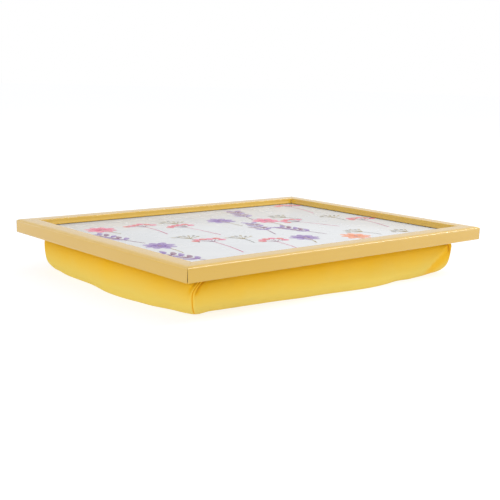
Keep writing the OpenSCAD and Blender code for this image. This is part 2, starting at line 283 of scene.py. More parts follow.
    @staticmethod
    def shade(obj: Obj, angle: float = 35) -> Obj:
        """Shades obj smooth, with edges sharper than the angle left crisp."""
        Bench.hold(obj)
        bpy.ops.object.shade_smooth_by_angle(angle=math.radians(angle))
        return obj

    @staticmethod
    def mesh(name: str, points: Sequence[Place], faces: Sequence[Sequence[int]]) -> Obj:
        """Makes an object of points and faces that a formula gave.

        Args:
            name: The object's name.
            points: The points.
            faces: The faces, by their points' numbers.

        Returns:
            The object.
        """
        data = bpy.data.meshes.new(name)
        data.from_pydata(points, [], faces)
        obj = bpy.data.objects.new(name, data)
        bpy.context.scene.collection.objects.link(obj)
        return obj


class Graph:
    """A node tree with short calls to fill it."""

    def __init__(self, tree: bpy.types.NodeTree) -> None:
        """Empties the tree and keeps it."""
        self.tree = tree
        tree.nodes.clear()

    def add(self, kind: str, sockets: dict[Any, Any] | None = None, **settings: Any) -> Node:
        """Adds a node.

        Args:
            kind: The node's type, without its ShaderNode prefix.
            sockets: Values or sockets for its inputs, by name or number.
            **settings: The node's own properties.

        Returns:
            The new node.
        """
        node = self.tree.nodes.new(kind if kind.startswith("Node") else "ShaderNode" + kind)
        for key, value in settings.items():
            setattr(node, key, value)
        for key, value in (sockets or {}).items():
            if isinstance(value, Socket):
                self.tree.links.new(value, node.inputs[key])
            else:
                node.inputs[key].default_value = value
        return node

    def math(self, how: str, *values: Any, clamp: bool = False) -> Socket:
        """Adds a Math node and returns its output."""
        return self.add("Math", dict(enumerate(values)), operation=how,
                        use_clamp=clamp).outputs[0]

    def blend(self, mask: Any, first: Any, second: Any, amount: float = 1.0) -> Socket:
        """Mixes two colours by a mask, or by a part of it, and returns the mix.

        Args:
            mask: Where the second colour shows, from 0 to 1.
            first: The colour at 0.
            second: The colour at 1.
            amount: How much of the mask is used.

        Returns:
            The mix.
        """
        if amount != 1:
            mask = self.math("MULTIPLY", mask, amount)
        return self.add("Mix", {"Factor": mask, 6: first, 7: second},
                        data_type="RGBA").outputs[2]

    def spread(self, value: Any, low: Any, high: Any, to_low: Any = 0.0,
               to_high: Any = 1.0) -> Socket:
        """Adds a clamped Map Range and returns its output."""
        return self.add("MapRange", {0: value, 1: low, 2: high, 3: to_low, 4: to_high}).outputs[0]

    def noise(self, place: Socket, scale: Any, detail: float = 2.0, rough: float = 0.5,
              warp: float = 0.0) -> Socket:
        """Adds a noise texture and returns its value."""
        return self.add("TexNoise", {"Vector": place, "Scale": scale, "Detail": detail,
                                     "Roughness": rough, "Distortion": warp}).outputs[0]

    def effect(self, group: bpy.types.NodeTree, place: Socket, **values: float) -> Any:
        """Lays a shared effect on given coordinates and returns its outputs."""
        return self.add("Group", {"Vector": place, **values}, node_tree=group).outputs

    def shader(self, tone: Any, rough: Any, bump: Sequence[Any] = (),
               others: dict[str, Any] | None = None) -> Node:
        """Adds a surface's shader.

        Args:
            tone: The base colour.
            rough: The roughness.
            bump: The height, strength and distance of the surface's bump, if it has one.
            others: What else differs from a plain surface.

        Returns:
            The shader.
        """
        sockets = {"Base Color": tone, "Roughness": rough, **(others or {})}
        if bump:
            sockets["Normal"] = self.add("Bump", dict(zip(
                ("Height", "Strength", "Distance"), bump))).outputs[0]
        return self.add("BsdfPrincipled", sockets)


def node_group(name: str, outputs: str, **inputs: float) -> Callable:
    """Turns a function that fills a node group into one that builds the group once.

    Args:
        name: The group's name.
        outputs: The names of the values that it puts out.
        **inputs: Its inputs besides the coordinates, with their defaults.

    Returns:
        The decorator.
    """

    def wrap(fill: Callable[[Graph, Any], Sequence[Socket]]) -> Callable:
        """Wraps the function that fills the group."""

        @cache
        def group() -> bpy.types.NodeTree:
            """Builds the group the first time and finds it after that."""
            tree = bpy.data.node_groups.new(name, "ShaderNodeTree")
            tree.interface.new_socket(name="Vector", in_out="INPUT",
                                      socket_type="NodeSocketVector")
            for key, value in inputs.items():
                tree.interface.new_socket(name=key, in_out="INPUT",
                                          socket_type="NodeSocketFloat").default_value = value
            for key in outputs.split():
                tree.interface.new_socket(name=key, in_out="OUTPUT",
                                          socket_type="NodeSocketFloat")
            graph = Graph(tree)
            filled = fill(graph, graph.add("NodeGroupInput").outputs)
            graph.add("NodeGroupOutput", dict(zip(outputs.split(), filled)))
            return tree

        return group

    return wrap


@node_group("Weave", "Height Tone", Pitch=0.0006, Slub=0.3)
def weave(graph: Graph, source: Any) -> tuple[Socket, Socket]:
    """Plain weave: threads that cross over and under at a given pitch, with uneven yarn."""
    scale = graph.math("DIVIDE", math.pi, source["Pitch"])
    wobble = graph.noise(source["Vector"], 220.0)
    drift = graph.math("MULTIPLY", graph.math("SUBTRACT", wobble, 0.5), 0.9)
    parts = graph.add("SeparateXYZ", {0: source["Vector"]}).outputs
    across, along = (graph.math("MULTIPLY_ADD", parts[axis], scale, drift) for axis in (0, 1))
    warp, weft = (graph.math("ABSOLUTE", graph.math("SINE", way)) for way in (across, along))
    check = graph.math("MULTIPLY", graph.math("COSINE", across), graph.math("COSINE", along))
    height = graph.add("Mix", {"Factor": graph.spread(check, -0.25, 0.25), 2: warp,
                               3: weft}).outputs[0]
    yarn = graph.noise(source["Vector"], 900.0, 3.0)
    slub = graph.math("MULTIPLY", graph.math("SUBTRACT", yarn, 0.5), source["Slub"])
    tone = graph.math("ADD", graph.math("MULTIPLY", height, 0.5), slub)
    return graph.math("ADD", height, slub), graph.spread(tone, 0.0, 0.75)


@node_group("Grain", "Height Tone", Scale=60.0, Stretch=0.04)
def grain(graph: Graph, source: Any) -> tuple[Socket, Socket]:
    """Long streaks along X, as of brushed lacquer or wood under paint."""
    parts = graph.add("SeparateXYZ", {0: source["Vector"]}).outputs
    along = graph.math("MULTIPLY", parts[0], source["Stretch"])
    place = graph.add("CombineXYZ", {0: along, 1: parts[1], 2: parts[2]}).outputs[0]
    fine = graph.noise(place, source["Scale"], 6.0, 0.62)
    broad = graph.noise(place, graph.math("MULTIPLY", source["Scale"], 0.16))
    tone = graph.math("MULTIPLY_ADD", broad, 0.6, graph.math("MULTIPLY", fine, 0.4))
    return fine, graph.spread(tone, 0.3, 0.7)


@node_group("Mottle", "Mask", Scale=12.0, Contrast=0.5)
def mottle(graph: Graph, source: Any) -> tuple[Socket]:
    """Soft cloudy patches, as of handling, dust and uneven dye."""
    lifted = graph.math("SUBTRACT", graph.noise(source["Vector"], source["Scale"], 5.0, 0.55),
                        0.5)
    steep = graph.math("MULTIPLY_ADD", source["Contrast"], 4.0, 0.5)
    return (graph.math("MULTIPLY_ADD", lifted, steep, 0.5, clamp=True),)


@node_group("Edge wear", "Mask", Start=0.54, End=0.62)
def wear(graph: Graph, source: Any) -> tuple[Socket]:
    """A mask of convex edges, broken up by noise, where a finish rubs thin."""
    rough = graph.math("SUBTRACT", graph.noise(source["Vector"], 90.0, 4.0), 0.5)
    bent = graph.math("MULTIPLY_ADD", rough, 0.06,
                      graph.add("NewGeometry").outputs["Pointiness"])
    return (graph.spread(bent, source["Start"], source["End"]),)


class Finish:
    """What every finish shares: a material made once and laid on pieces."""

    name: str
    slot: str
    made: ClassVar[dict[str, bpy.types.Material]] = {}

    def build(self, graph: Graph, place: Socket) -> Node:
        """Fills the graph and returns the shader; each finish has its own."""
        raise NotImplementedError

    def vector(self, graph: Graph) -> Socket:
        """The coordinates that the pattern is laid on: the object's own."""
        return graph.add("TexCoord").outputs["Object"]

    def material(self) -> bpy.types.Material:
        """Makes the material, or finds the one that was made before."""
        if self.name not in self.made:
            made = bpy.data.materials.new("finish_" + self.name)
            made.use_nodes = True
            graph = Graph(made.node_tree)
            shader = self.build(graph, self.vector(graph))
            graph.add("OutputMaterial", {"Surface": shader.outputs[0]})
            self.made[self.name] = made
        return self.made[self.name]

    def lay(self, obj: Obj) -> None:
        """Lays the finish all over an object."""
        obj.data.materials.clear()
        obj.data.materials.append(self.material())

    def lay_on_node(self, node: str) -> None:
        """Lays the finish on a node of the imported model, whose mesh stays as it is.

        Args:
            node: The node's name.
        """
        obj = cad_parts[node]
        if not obj.material_slots:
            obj.data.materials.append(self.material())
        for place in obj.material_slots:
            place.material = self.material()


@dataclass(frozen=True)
class Lacquer(Finish):
    """Satin golden lacquer on wood, brushed along the rail."""

    name: str
    slot: str = "rail_lacquer"
    turned: bool = False
    body: tuple = srgb(214, 172, 52)
    deep: tuple = srgb(200, 154, 36)
    worn: tuple = srgb(232, 200, 120)
    brushed: float = 0.30
    clouded: float = 0.25
    rubbed: float = 0.55
    rough: Point = (0.39, 0.51)
    relief: Point = (0.25, 0.08 * MM)
    gloss: ClassVar[dict[str, float]] = {
        "Coat Weight": 1.0, "Coat Roughness": 0.16, "Coat IOR": 1.7, "IOR": 1.5,
        "Specular IOR Level": 0.2}

    def build(self, graph: Graph, place: Socket) -> Node:
        """Returns the lacquer's shader."""
        turn = math.radians(90) if self.turned else 0.0
        along = graph.add("Mapping", {"Vector": place, "Rotation": (0, 0, turn)}).outputs[0]
        streaks = graph.effect(grain(), along, Scale=420.0, Stretch=0.03)
        cloud = graph.effect(mottle(), place, Scale=9.0)["Mask"]
        edges = graph.effect(wear(), place)["Mask"]
        tone = graph.blend(streaks["Tone"], self.body, self.deep, self.brushed)
        tone = graph.blend(cloud, tone, self.deep, self.clouded)
        tone = graph.blend(edges, tone, self.worn, self.rubbed)
        return graph.shader(tone, graph.spread(cloud, 0, 1, *self.rough),
                            (streaks["Height"], *self.relief), self.gloss)


@dataclass(frozen=True)
class Melamine(Finish):
    """The panel's pale printed sheet under a clear satin face."""

    name: str = "panel_melamine"
    slot: str = "printed_melamine"
    ground: tuple = srgb(219, 221, 223)
    shade: tuple = srgb(210, 212, 215)
    clouded: float = 0.6
    rough: Point = (0.24, 0.30)
    relief: Point = (0.12, 0.05 * MM)
    gloss: ClassVar[dict[str, float]] = {"IOR": 1.5, "Specular IOR Level": 0.03}

    def build(self, graph: Graph, place: Socket) -> Node:
        """Returns the sheet's shader."""
        cloud = graph.effect(mottle(), place, Scale=18.0)["Mask"]
        peel = graph.noise(place, 700.0, 3.0)
        return graph.shader(graph.blend(cloud, self.ground, self.shade, self.clouded),
                            graph.spread(cloud, 0, 1, *self.rough), (peel, *self.relief),
                            self.gloss)


@dataclass(frozen=True)
class Ink(Finish):
    """Print ink whose colour each brush stroke carries, washed out in patches."""

    name: str = "print_ink"
    slot: str = "printed_melamine"
    washed: tuple = srgb(228, 228, 230)
    wash: float = 0.22
    rough: Point = (0.24, 0.32)

    def build(self, graph: Graph, place: Socket) -> Node:
        """Returns the ink's shader."""
        colour = graph.add("Attribute", attribute_name="ink").outputs["Color"]
        cloud = graph.effect(mottle(), place, Scale=160.0)["Mask"]
        return graph.shader(graph.blend(cloud, colour, self.washed, self.wash),
                            graph.spread(cloud, 0, 1, *self.rough), others=Melamine.gloss)


@dataclass(frozen=True)
class Board(Finish):
    """Brown hardboard, smooth on one face, with short pressed fibres."""

    name: str
    slot: str = "hardboard"
    light: tuple = srgb(150, 112, 74)
    dark: tuple = srgb(104, 73, 45)
    rough: Point = (0.62, 0.8)
    relief: Point = (0.5, 0.1 * MM)

    def build(self, graph: Graph, place: Socket) -> Node:
        """Returns the board's shader."""
        fibre = graph.noise(place, 900.0, 8.0, 0.7, 1.5)
        cloud = graph.effect(mottle(), place, Scale=25.0)["Mask"]
        share = graph.math("MULTIPLY_ADD", graph.spread(fibre, 0.35, 0.65), 0.6,
                           graph.math("MULTIPLY", cloud, 0.4))
        return graph.shader(graph.blend(share, self.light, self.dark),
                            graph.spread(fibre, 0.3, 0.7, *self.rough),
                            (fibre, *self.relief))


@dataclass(frozen=True)
class Metal(Finish):
    """Small metal parts: drawn along one way, rubbed bright at the edges."""

    name: str
    slot: str
    body: tuple
    bright: tuple
    roughness: float = 0.34
    drawn: float = 0.35
    relief: Point = (0.2, 0.03 * MM)

    def build(self, graph: Graph, place: Socket) -> Node:
        """Returns the metal's shader."""
        streaks = graph.effect(grain(), place, Scale=1800.0, Stretch=0.1)
        edges = graph.effect(wear(), place)["Mask"]
        tone = graph.blend(streaks["Tone"], self.body, self.bright, self.drawn)
        rough = graph.spread(streaks["Tone"], 0, 1, self.roughness - 0.08, self.roughness + 0.1)
        return graph.shader(graph.blend(edges, tone, self.bright), rough,
                            (streaks["Height"], *self.relief), {"Metallic": 1.0})


@dataclass(frozen=True)
class Cloth(Finish):
    """Woven cloth with a soft sheen, laid on the piece's own cut.

    A cloth that has a painted light tone turns to it downwards. The cloth is one colour, so this
    turn is painted light and shade: paler low down, deeper up under the tray. Its
    "seam" attribute is a painted shade mask. It takes the painted light away up to the value of a
    shallow crease, and past that paints shade into the seams and the depth of the folds.
    """

    name: str
    slot: str
    light: tuple
    deep: tuple
    pitch: float = 0.7 * MM
    mapped: bool = True
    # Painted light and shade: the paler tone low down, the heights over which the cloth turns to
    # it, its unevenness, and how much of it the painted shade mask leaves.
    painted_light_tone: tuple | None = None
    painted_light_from: float = 41 * MM
    painted_light_to: float = 12 * MM
    uneven: float = 6 * MM
    painted_light_kept: Point = (0.8, 0.15)
    # Painted shade: the colour painted into seams and folds, the mask's value for a shallow crease,
    # and how much shade is painted past it.
    seam: tuple = srgb(196, 116, 14)
    sunk: float = 0.45
    painted_shade_share: float = 0.55
    rough: Point = (0.92, 0.78)
    relief: Point = (0.6, 0.12 * MM)

    def vector(self, graph: Graph) -> Socket:
        """The coordinates that the weave is laid on: the cut's, in metres, or the object's."""
        if self.mapped:
            return graph.add("UVMap", uv_map="cut").outputs[0]
        return super().vector(graph)

    def build(self, graph: Graph, place: Socket) -> Node:
        """Returns the cloth's shader."""
        threads = graph.effect(weave(), place, Pitch=self.pitch, Slub=0.35)
        cloud = graph.effect(mottle(), place, Scale=22.0)["Mask"]
        share = graph.math("MULTIPLY_ADD", cloud, 0.35,
                           graph.math("MULTIPLY", threads["Tone"], 0.45))
        tone = graph.blend(graph.math("SUBTRACT", 0.85, share, clamp=True), self.light,
                           self.deep)
        if self.painted_light_tone:
            tone = self.paint_light_and_shade(graph, tone, cloud)
        return graph.shader(tone, graph.spread(threads["Tone"], 0, 1, *self.rough),
                            (threads["Height"], *self.relief), {
                                "Sheen Weight": 0.05, "Sheen Roughness": 0.45,
                                "Sheen Tint": self.light, "Specular IOR Level": 0.2})

    def paint_light_and_shade(self, graph: Graph, tone: Socket, cloud: Socket) -> Socket:
        """Paints light onto a tone downwards, and paints shade into its seams and folds.

        Args:
            graph: The material's graph.
            tone: The cloth's own tone.
            cloud: A mask that makes the painted light uneven.

        Returns:
            The new tone.
        """
        height = graph.add("SeparateXYZ", {
            0: graph.add("TexCoord").outputs["Object"]}).outputs[2]
        # The "seam" attribute is a painted shade mask.
        depth = graph.add("Attribute", attribute_name="seam").outputs["Fac"]
        # Painted light and shade: paler downwards, deeper up under the tray.
        painted_light_share = graph.spread(graph.math("MULTIPLY_ADD", cloud, self.uneven, height),
                            self.painted_light_from, self.painted_light_to)
        painted_light_share = graph.math("MULTIPLY", painted_light_share, graph.spread(depth, 0, self.sunk, *self.painted_light_kept))
        tone = graph.blend(painted_light_share, tone, self.painted_light_tone)
        # Painted shade in the seams and the depth of the folds.
        return graph.blend(graph.spread(depth, self.sunk, 1, 0, self.painted_shade_share), tone, self.seam)


@dataclass(frozen=True)
class Pile(Finish):
    """The face of a hook or loop pad: a dense field of tiny bristles or loops."""

    name: str
    slot: str
    light: tuple
    deep: tuple
    spacing: float = 0.9 * MM
    irregular: float = 1.0
    rough: Point = (0.9, 0.6)
    relief: Point = (0.9, 0.3 * MM)

    def build(self, graph: Graph, place: Socket) -> Node:
        """Returns the pile's shader."""
        cells = graph.add("TexVoronoi", {"Vector": place, "Scale": 1 / self.spacing,
                                         "Randomness": self.irregular})
        tuft = graph.spread(cells.outputs["Distance"], 0.0, 0.75, 1.0, 0.0)
        return graph.shader(graph.blend(tuft, self.deep, self.light),
                            graph.spread(tuft, 0, 1, *self.rough), (tuft, *self.relief),
                            {"Sheen Weight": 0.3, "Sheen Roughness": 0.5})


RAIL_LONG = Lacquer("lacquer_long_rails")
RAIL_SHORT = Lacquer("lacquer_short_rails", turned=True)
STEEL = Metal("nail_steel", "nail_steel", srgb(150, 152, 156), srgb(205, 207, 210))
BRASS = Metal("zip_metal", "zip_metal", srgb(190, 158, 96), srgb(232, 208, 150), 0.3)
TOOTH_PLASTIC = Metal("zip_teeth", "zip_plastic", srgb(214, 160, 52), srgb(240, 200, 104), 0.4)
YELLOW_CLOTH = Cloth("cushion_cloth", "cushion_cloth", srgb(250, 198, 24), srgb(247, 182, 10),
                     painted_light_tone=srgb(236, 214, 110))
LINER_CLOTH = Cloth("liner_cloth", "liner_cloth", srgb(238, 236, 228), srgb(214, 211, 202),
                    0.5 * MM)
TAPE_CLOTH = Cloth("zip_tape", "zip_tape", srgb(236, 186, 46), srgb(216, 158, 26), 0.4 * MM,
                   mapped=False)
THREAD = Cloth("sewing_thread", "cushion_cloth", srgb(240, 200, 90), srgb(214, 160, 40),
               0.3 * MM, mapped=False)
BEADS = Pile("bead_filling", "bead_filling", srgb(250, 250, 250), srgb(206, 208, 212), 3 * MM)
HOOKS = Pile("hook_pile", "hook_tape", srgb(236, 233, 222), srgb(190, 186, 172), 0.8 * MM, 0.25)
LOOPS = Pile("loop_pile", "loop_tape", srgb(236, 188, 66), srgb(196, 142, 34))

TRAY_BOARD = Board("tray_board")
BACKING_BOARD = Board("backing_board", light=srgb(138, 100, 64), dark=srgb(92, 62, 38))


def place_piece(name: str, obj: Obj, body: Body, finish: Finish, *nodes: str) -> None:
    """Names and dresses a finished piece, lets it ride on its body and reports it.

    Args:
        name: The piece's name.
        obj: The finished mesh.
        body: The body that it moves with.
        finish: What it is made of.
        *nodes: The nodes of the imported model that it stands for.
    """
    obj.name = obj.data.name = name
    finish.lay(obj)
    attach(obj, body.value)
    if nodes:
        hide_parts(*nodes)
    log.info("%s: %d faces on %s", name, len(obj.data.polygons), body.value)


@dataclass
class TrayFrame:
    """The four mitred rails."""

    rail_w: float = 21 * MM
    rebate_w: float = 8 * MM
    rebate_h: float = 8 * MM
    shoulder_w: float = 5 * MM
    shoulder_h: float = 2.6 * MM
    shoulder_segments: int = 12
    slope_w: float = 1.6 * MM
    lip_h: float = 1.0 * MM
    bead_h: float = 2.2 * MM
    bead_w: float = 1.1 * MM
    mitre_gap: float = 0.06 * MM
    mitre_tilt: float = 0.028
    inner_round: float = 0.9 * MM
    lip_round: float = 0.42 * MM
    foot_round: float = 0.7 * MM
    corner_round: float = 0.9 * MM

    def __post_init__(self) -> None:
        """Takes the tray's outer size and the rails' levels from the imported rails."""
        low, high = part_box("front_rail")
        self.low, self.high = low.z, high.z
        self.length = 2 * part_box("right_rail")[1].x
        self.width = 2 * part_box("back_rail")[1].y

    def rail(self, length: float, depth: float, turn: float) -> Obj:
        """Models one rail along X and turns it to its side of the tray.

        Args:
            length: The tray's size along this rail.
            depth: The tray's size across it.
            turn: Degrees that the rail is turned about the tray's middle.

        Returns:
            The finished mesh.
        """
        outer = -depth / 2
        inner = outer + self.rail_w
        wall = inner - self.rebate_w
        under = self.low + self.rebate_h
        lip = under + self.lip_h
        bead = lip + self.bead_h
        rail = Bench.block("rail", (-length / 2, outer, under), (length / 2, inner, self.high))

        def round_edge(y: float, z: float, radius: float, segments: int) -> None:
            """Rounds the edge that runs along the rail at a place in its section."""
            Bench.pick(rail, Pick.EDGE, lambda edge: all(
                abs(v.co.y - y) < NEAR and abs(v.co.z - z) < NEAR for v in edge.verts))
            Bench.round_off(radius, segments)

        with Bench.editing(rail):
            Bench.slice_at((0, wall, 0), (0, 1, 0))
            Bench.pick(rail, Pick.FACE, lambda face: face.normal.z < -0.9
                       and face.calc_center_median().y < wall)
            bpy.ops.mesh.extrude_region_move(
                TRANSFORM_OT_translate={"value": (0, 0, -self.rebate_h)})
            for level in (lip, bead):
                Bench.slice_at((0, 0, level), (0, 0, 1))
            for y, level, slide in ((inner, bead, -self.bead_w),
                                    (inner - self.bead_w, self.high,
                                     self.bead_w - self.slope_w)):
                Bench.pick(rail, Pick.VERT, lambda vert: abs(vert.co.y - y) < NEAR
                           and vert.co.z > level - NEAR)
                bpy.ops.transform.translate(value=(0, slide, 0))
            bpy.ops.mesh.select_all(action="SELECT")
            bpy.ops.mesh.dissolve_limited(angle_limit=math.radians(0.5))
            stretch = self.shoulder_w / self.shoulder_h
            Bench.stretch((1, 1, stretch), (0, 0, self.high))
            round_edge(outer, self.high, self.shoulder_w, self.shoulder_segments)
            Bench.stretch((1, 1, 1 / stretch), (0, 0, self.high))
            round_edge(inner - self.slope_w, self.high, self.inner_round, 5)
            round_edge(inner - self.bead_w, bead, self.inner_round, 4)
            round_edge(inner, lip, self.lip_round, 3)
            round_edge(inner, under, self.lip_round, 3)
            round_edge(outer, self.low, self.foot_round, 4)
            round_edge(wall, self.low, self.lip_round, 2)
            end = length / 2 - self.mitre_gap / math.sqrt(2)
            for side in (-1, 1):
                Bench.slice_at((side * end, outer, self.high), (-side, -1, self.mitre_tilt),
                               drop=True)
            Bench.pick(rail, Pick.EDGE, lambda edge: all(
                abs(v.co.y - outer) < NEAR and abs(v.co.x) > length / 2 - 1 * MM
                for v in edge.verts))
            Bench.round_off(self.corner_round, 3)
        rail.rotation_euler.z = math.radians(turn)
        return Bench.shade(Bench.settle(rail))

    def build(self) -> None:
        """Makes the four rails and dresses them."""
        for node, length, depth, turn, finish in (
                ("front_rail", self.length, self.width, 0, RAIL_LONG),
                ("right_rail", self.width, self.length, 90, RAIL_SHORT),
                ("back_rail", self.length, self.width, 180, RAIL_LONG),
                ("left_rail", self.width, self.length, -90, RAIL_SHORT)):
            place_piece("lacquered_" + node, self.rail(length, depth, turn), Body.TRAY, finish,
                        node)
        for node in ("corner_v_nails", "board_points", "hook_staples"):
            STEEL.lay_on_node(node)


@dataclass
class Stroke:
    """One brush stroke of the printed design: a tapering, bending band of ink."""

    start: Point
    heading: float
    length: float
    width: float
    colour: tuple
    bend: float = 0.0
    blunt: float = 0.0
    steps: int = 9

    def outline(self) -> list[tuple[float, float, float]]:
        """Walks the stroke and returns its left and right points in turn, with ink strength.

        Returns:
            Each point's place across, its place along, and its ink.
        """
        points = []
        at = self.start
        for k in range(self.steps):
            share = k / (self.steps - 1)
            angle = self.heading + self.bend * (share - 0.5)
            body = math.sin(math.pi * (0.06 + 0.88 * share)) ** 0.7
            half = self.width / 2 * (body + (1 - body) * self.blunt)
            ink = 0.9 + 0.1 * math.cos(math.pi * share)
            for reach, strength in ((half, ink), (-half, ink * 0.9)):
                points.append((*beyond(at, angle + math.pi / 2, reach), strength))
            at = beyond(at, angle, self.length / (self.steps - 1))
        return points


@dataclass
class PrintedPanel:
    """The melamine sheet, its printed sprigs and the two boards under it."""

    sheet_round: float = 0.12 * MM
    ink_h: float = 0.08 * MM
    margin: float = 26 * MM
    edge: float = 12 * MM
    reach: float = 88 * MM
    columns: int = 7
    rows: int = 4
    seed: int = 11
    stem_w: float = 1.8 * MM
    stem_steps: int = 11
    leafy_stem: Point = (62 * MM, 84 * MM)
    leaf_pairs: int = 5
    leaf_l: Point = (13 * MM, 18 * MM)
    leaf_w: float = 6.5 * MM
    berry_stem: Point = (46 * MM, 66 * MM)
    berries: int = 6
    berry_reach: Point = (11 * MM, 17 * MM)
    rosette_stem: Point = (34 * MM, 58 * MM)
    petals: int = 8
    petal_l: Point = (15 * MM, 18 * MM)
    petal_w: float = 10 * MM
    petal_gap: float = 2.4 * MM
    heart: float = 5.2 * MM
    seed_stem: float = 24 * MM
    seeds: int = 7
    seed_reach: Point = (13 * MM, 18 * MM)
    plum: tuple = srgb(112, 32, 92)
    magenta: tuple = srgb(180, 22, 102)
    pink: tuple = srgb(216, 62, 116)
    violet: tuple = srgb(116, 70, 160)
    orange: tuple = srgb(228, 122, 46)
    coral: tuple = srgb(206, 62, 56)
    ochre: tuple = srgb(146, 124, 50)
    grey: tuple = srgb(88, 88, 80)
    strokes: list[Stroke] = field(default_factory=list)

    def paint(self, *values: Any, **others: Any) -> None:
        """Adds a brush stroke."""
        self.strokes.append(Stroke(*values, **others))

    def stem(self, at: Point, heading: float, length: float, colour: tuple, bend: float) -> Point:
        """Paints a thin stem and returns where it ends.

        Args:
            at: Where it starts.
            heading: Which way its middle points.
            length: Its length.
            colour: Its ink.
            bend: How far it turns from end to end.

        Returns:
            Its end.
        """
        self.paint(at, heading, length, self.stem_w, colour, bend, 0.8, self.stem_steps + 1)
        for k in range(self.stem_steps):
            at = beyond(at, heading + bend * (k / self.stem_steps - 0.5),
                        length / self.stem_steps)
        return at

    def fan(self, hub: Point, heading: float, gap: float, reaches: Sequence[float],
            ray: tuple[float, tuple, float], tip: tuple[float, float, int],
            tones: tuple[tuple, tuple]) -> None:
        """Paints a fan of fine rays with a berry or a seed at each tip.

        Args:
            hub: Where the rays part.
            heading: Which way the fan's middle points.
            gap: The angle from one ray to the next.
            reaches: Each ray's length.
            ray: A ray's width, colour and bluntness.
            tip: A tip's length and width, and the steps that draw it.
            tones: The colours that the tips take in turn.
        """
        for k, reach in enumerate(reaches):
            turn = heading + (k - (len(reaches) - 1) / 2) * gap
            self.paint(hub, turn, reach, ray[0], ray[1], blunt=ray[2], steps=4)
            self.paint(beyond(hub, turn, reach), turn, tip[0], tip[1], tones[k % 2],
                       steps=tip[2])

    def leaf_spray(self, at: Point, heading: float, dice: random.Random) -> None:
        """Paints a stem with pairs of narrow leaves.

        Args:
            at: Where its stem starts.
            heading: Which way the stem grows.
            dice: The source of chance.
        """
        tip = self.stem(at, heading, dice.uniform(*self.leafy_stem), self.plum,
                        dice.uniform(-0.3, 0.3))
        for k in range(self.leaf_pairs):
            fork = tuple(a + (b - a) * (0.4 + 0.14 * k) for a, b in zip(at, tip))
            for side in (-1, 1):
                self.paint(fork, heading + side * dice.uniform(0.6, 0.9),
                           dice.uniform(*self.leaf_l), self.leaf_w,
                           (self.violet, self.plum)[k % 2], -side * 0.5)

    def berry_spray(self, at: Point, heading: float, dice: random.Random) -> None:
        """Paints a forked stem with round berries.

        Args:
            at: Where its stem starts.
            heading: Which way the stem grows.
            dice: The source of chance.
        """
        tip = self.stem(at, heading, dice.uniform(*self.berry_stem), self.magenta,
                        dice.uniform(-0.4, 0.4))
        self.fan(tip, heading, 0.42, [dice.uniform(*self.berry_reach) for _ in range(self.berries)],
                 (1.0 * MM, self.plum, 0.8), (9.6 * MM, 9.0 * MM, 9), (self.pink, self.coral))

    def rosette(self, at: Point, heading: float, dice: random.Random) -> None:
        """Paints a round rosette of petals on a short stem.

        Args:
            at: Where its stem starts.
            heading: Which way the stem grows.
            dice: The source of chance.
        """
        centre = self.stem(at, heading, dice.uniform(*self.rosette_stem), self.ochre,
                           dice.uniform(-0.5, 0.5))
        colour = dice.choice((self.orange, self.pink, self.violet))
        for k in range(self.petals):
            turn = heading + 2 * math.pi * k / self.petals
            self.paint(beyond(centre, turn, self.petal_gap), turn,
                       dice.uniform(*self.petal_l), self.petal_w, colour)
        self.paint((centre[0] - self.heart / 2, centre[1]), 0.0, self.heart, self.heart,
                   self.plum)

    def seed_head(self, at: Point, heading: float, dice: random.Random) -> None:
        """Paints a muted fan of fine rays with a small seed at each tip.

        Args:
            at: Where its stem starts.
            heading: Which way the stem grows.
            dice: The source of chance.
        """
        hub = self.stem(at, heading, self.seed_stem, self.grey, 0.2)
        self.fan(hub, heading, 0.3,
                 [dice.uniform(*self.seed_reach) for _ in range(self.seeds)],
                 (1.1 * MM, self.ochre, 0.6), (6.5 * MM, 3.4 * MM, 5), (self.ochre, self.grey))

    def scatter(self, low: Vector, high: Vector) -> None:
        """Lays the motifs over the panel in a half-drop repeat with a little drift.

        Args:
            low: The sheet's lowest corner.
            high: The sheet's highest corner.
        """
        dice = random.Random(self.seed)
        motifs = (self.leaf_spray, self.seed_head, self.rosette, self.berry_spray)
        step_x = (high.x - low.x - 2 * self.margin) / self.columns
        step_y = (high.y - low.y - 2 * self.edge - self.reach) / (self.rows - 1)
        for i in range(self.columns):
            for j in range(self.rows - i % 2):
                x = low.x + self.margin + step_x * (i + 0.5 + dice.uniform(-0.12, 0.12))
                y = low.y + self.edge + step_y * (j + 0.5 * (i % 2) + dice.uniform(0, 0.1))
                heading = math.radians(90 + dice.uniform(-22, 22))
                motifs[(i * 3 + j * 2 + i // 2) % len(motifs)]((x, y), heading, dice)

    def print_design(self, low: Vector, high: Vector) -> Obj:
        """Makes all the strokes one thin mesh of ink with a colour at each point.

        Args:
            low: The sheet's lowest corner.
            high: The sheet's highest corner.

        Returns:
            The ink's object.
        """
        self.scatter(low, high)
        points, faces, colours = [], [], []
        for number, stroke in enumerate(self.strokes):
            first = len(points)
            level = high.z + self.ink_h * (0.4 + 0.6 * (number * 37 % 101) / 100)
            for x, y, ink in stroke.outline():
                points.append((x, y, level))
                colours.append([1 - (1 - part) * ink for part in stroke.colour[:3]] + [1.0])
            faces += [[k, k + 1, k + 3, k + 2]
                      for k in range(first, first + 2 * stroke.steps - 2, 2)]
        ink = Bench.mesh("ink", points, faces)
        layer = ink.data.color_attributes.new("ink", "FLOAT_COLOR", "POINT")
        for place, colour in zip(layer.data, colours):
            place.color = colour
        Bench.modify(ink, "SOLIDIFY", thickness=self.ink_h * 0.2, offset=-1)
        Bench.face_outward(ink)
        return ink

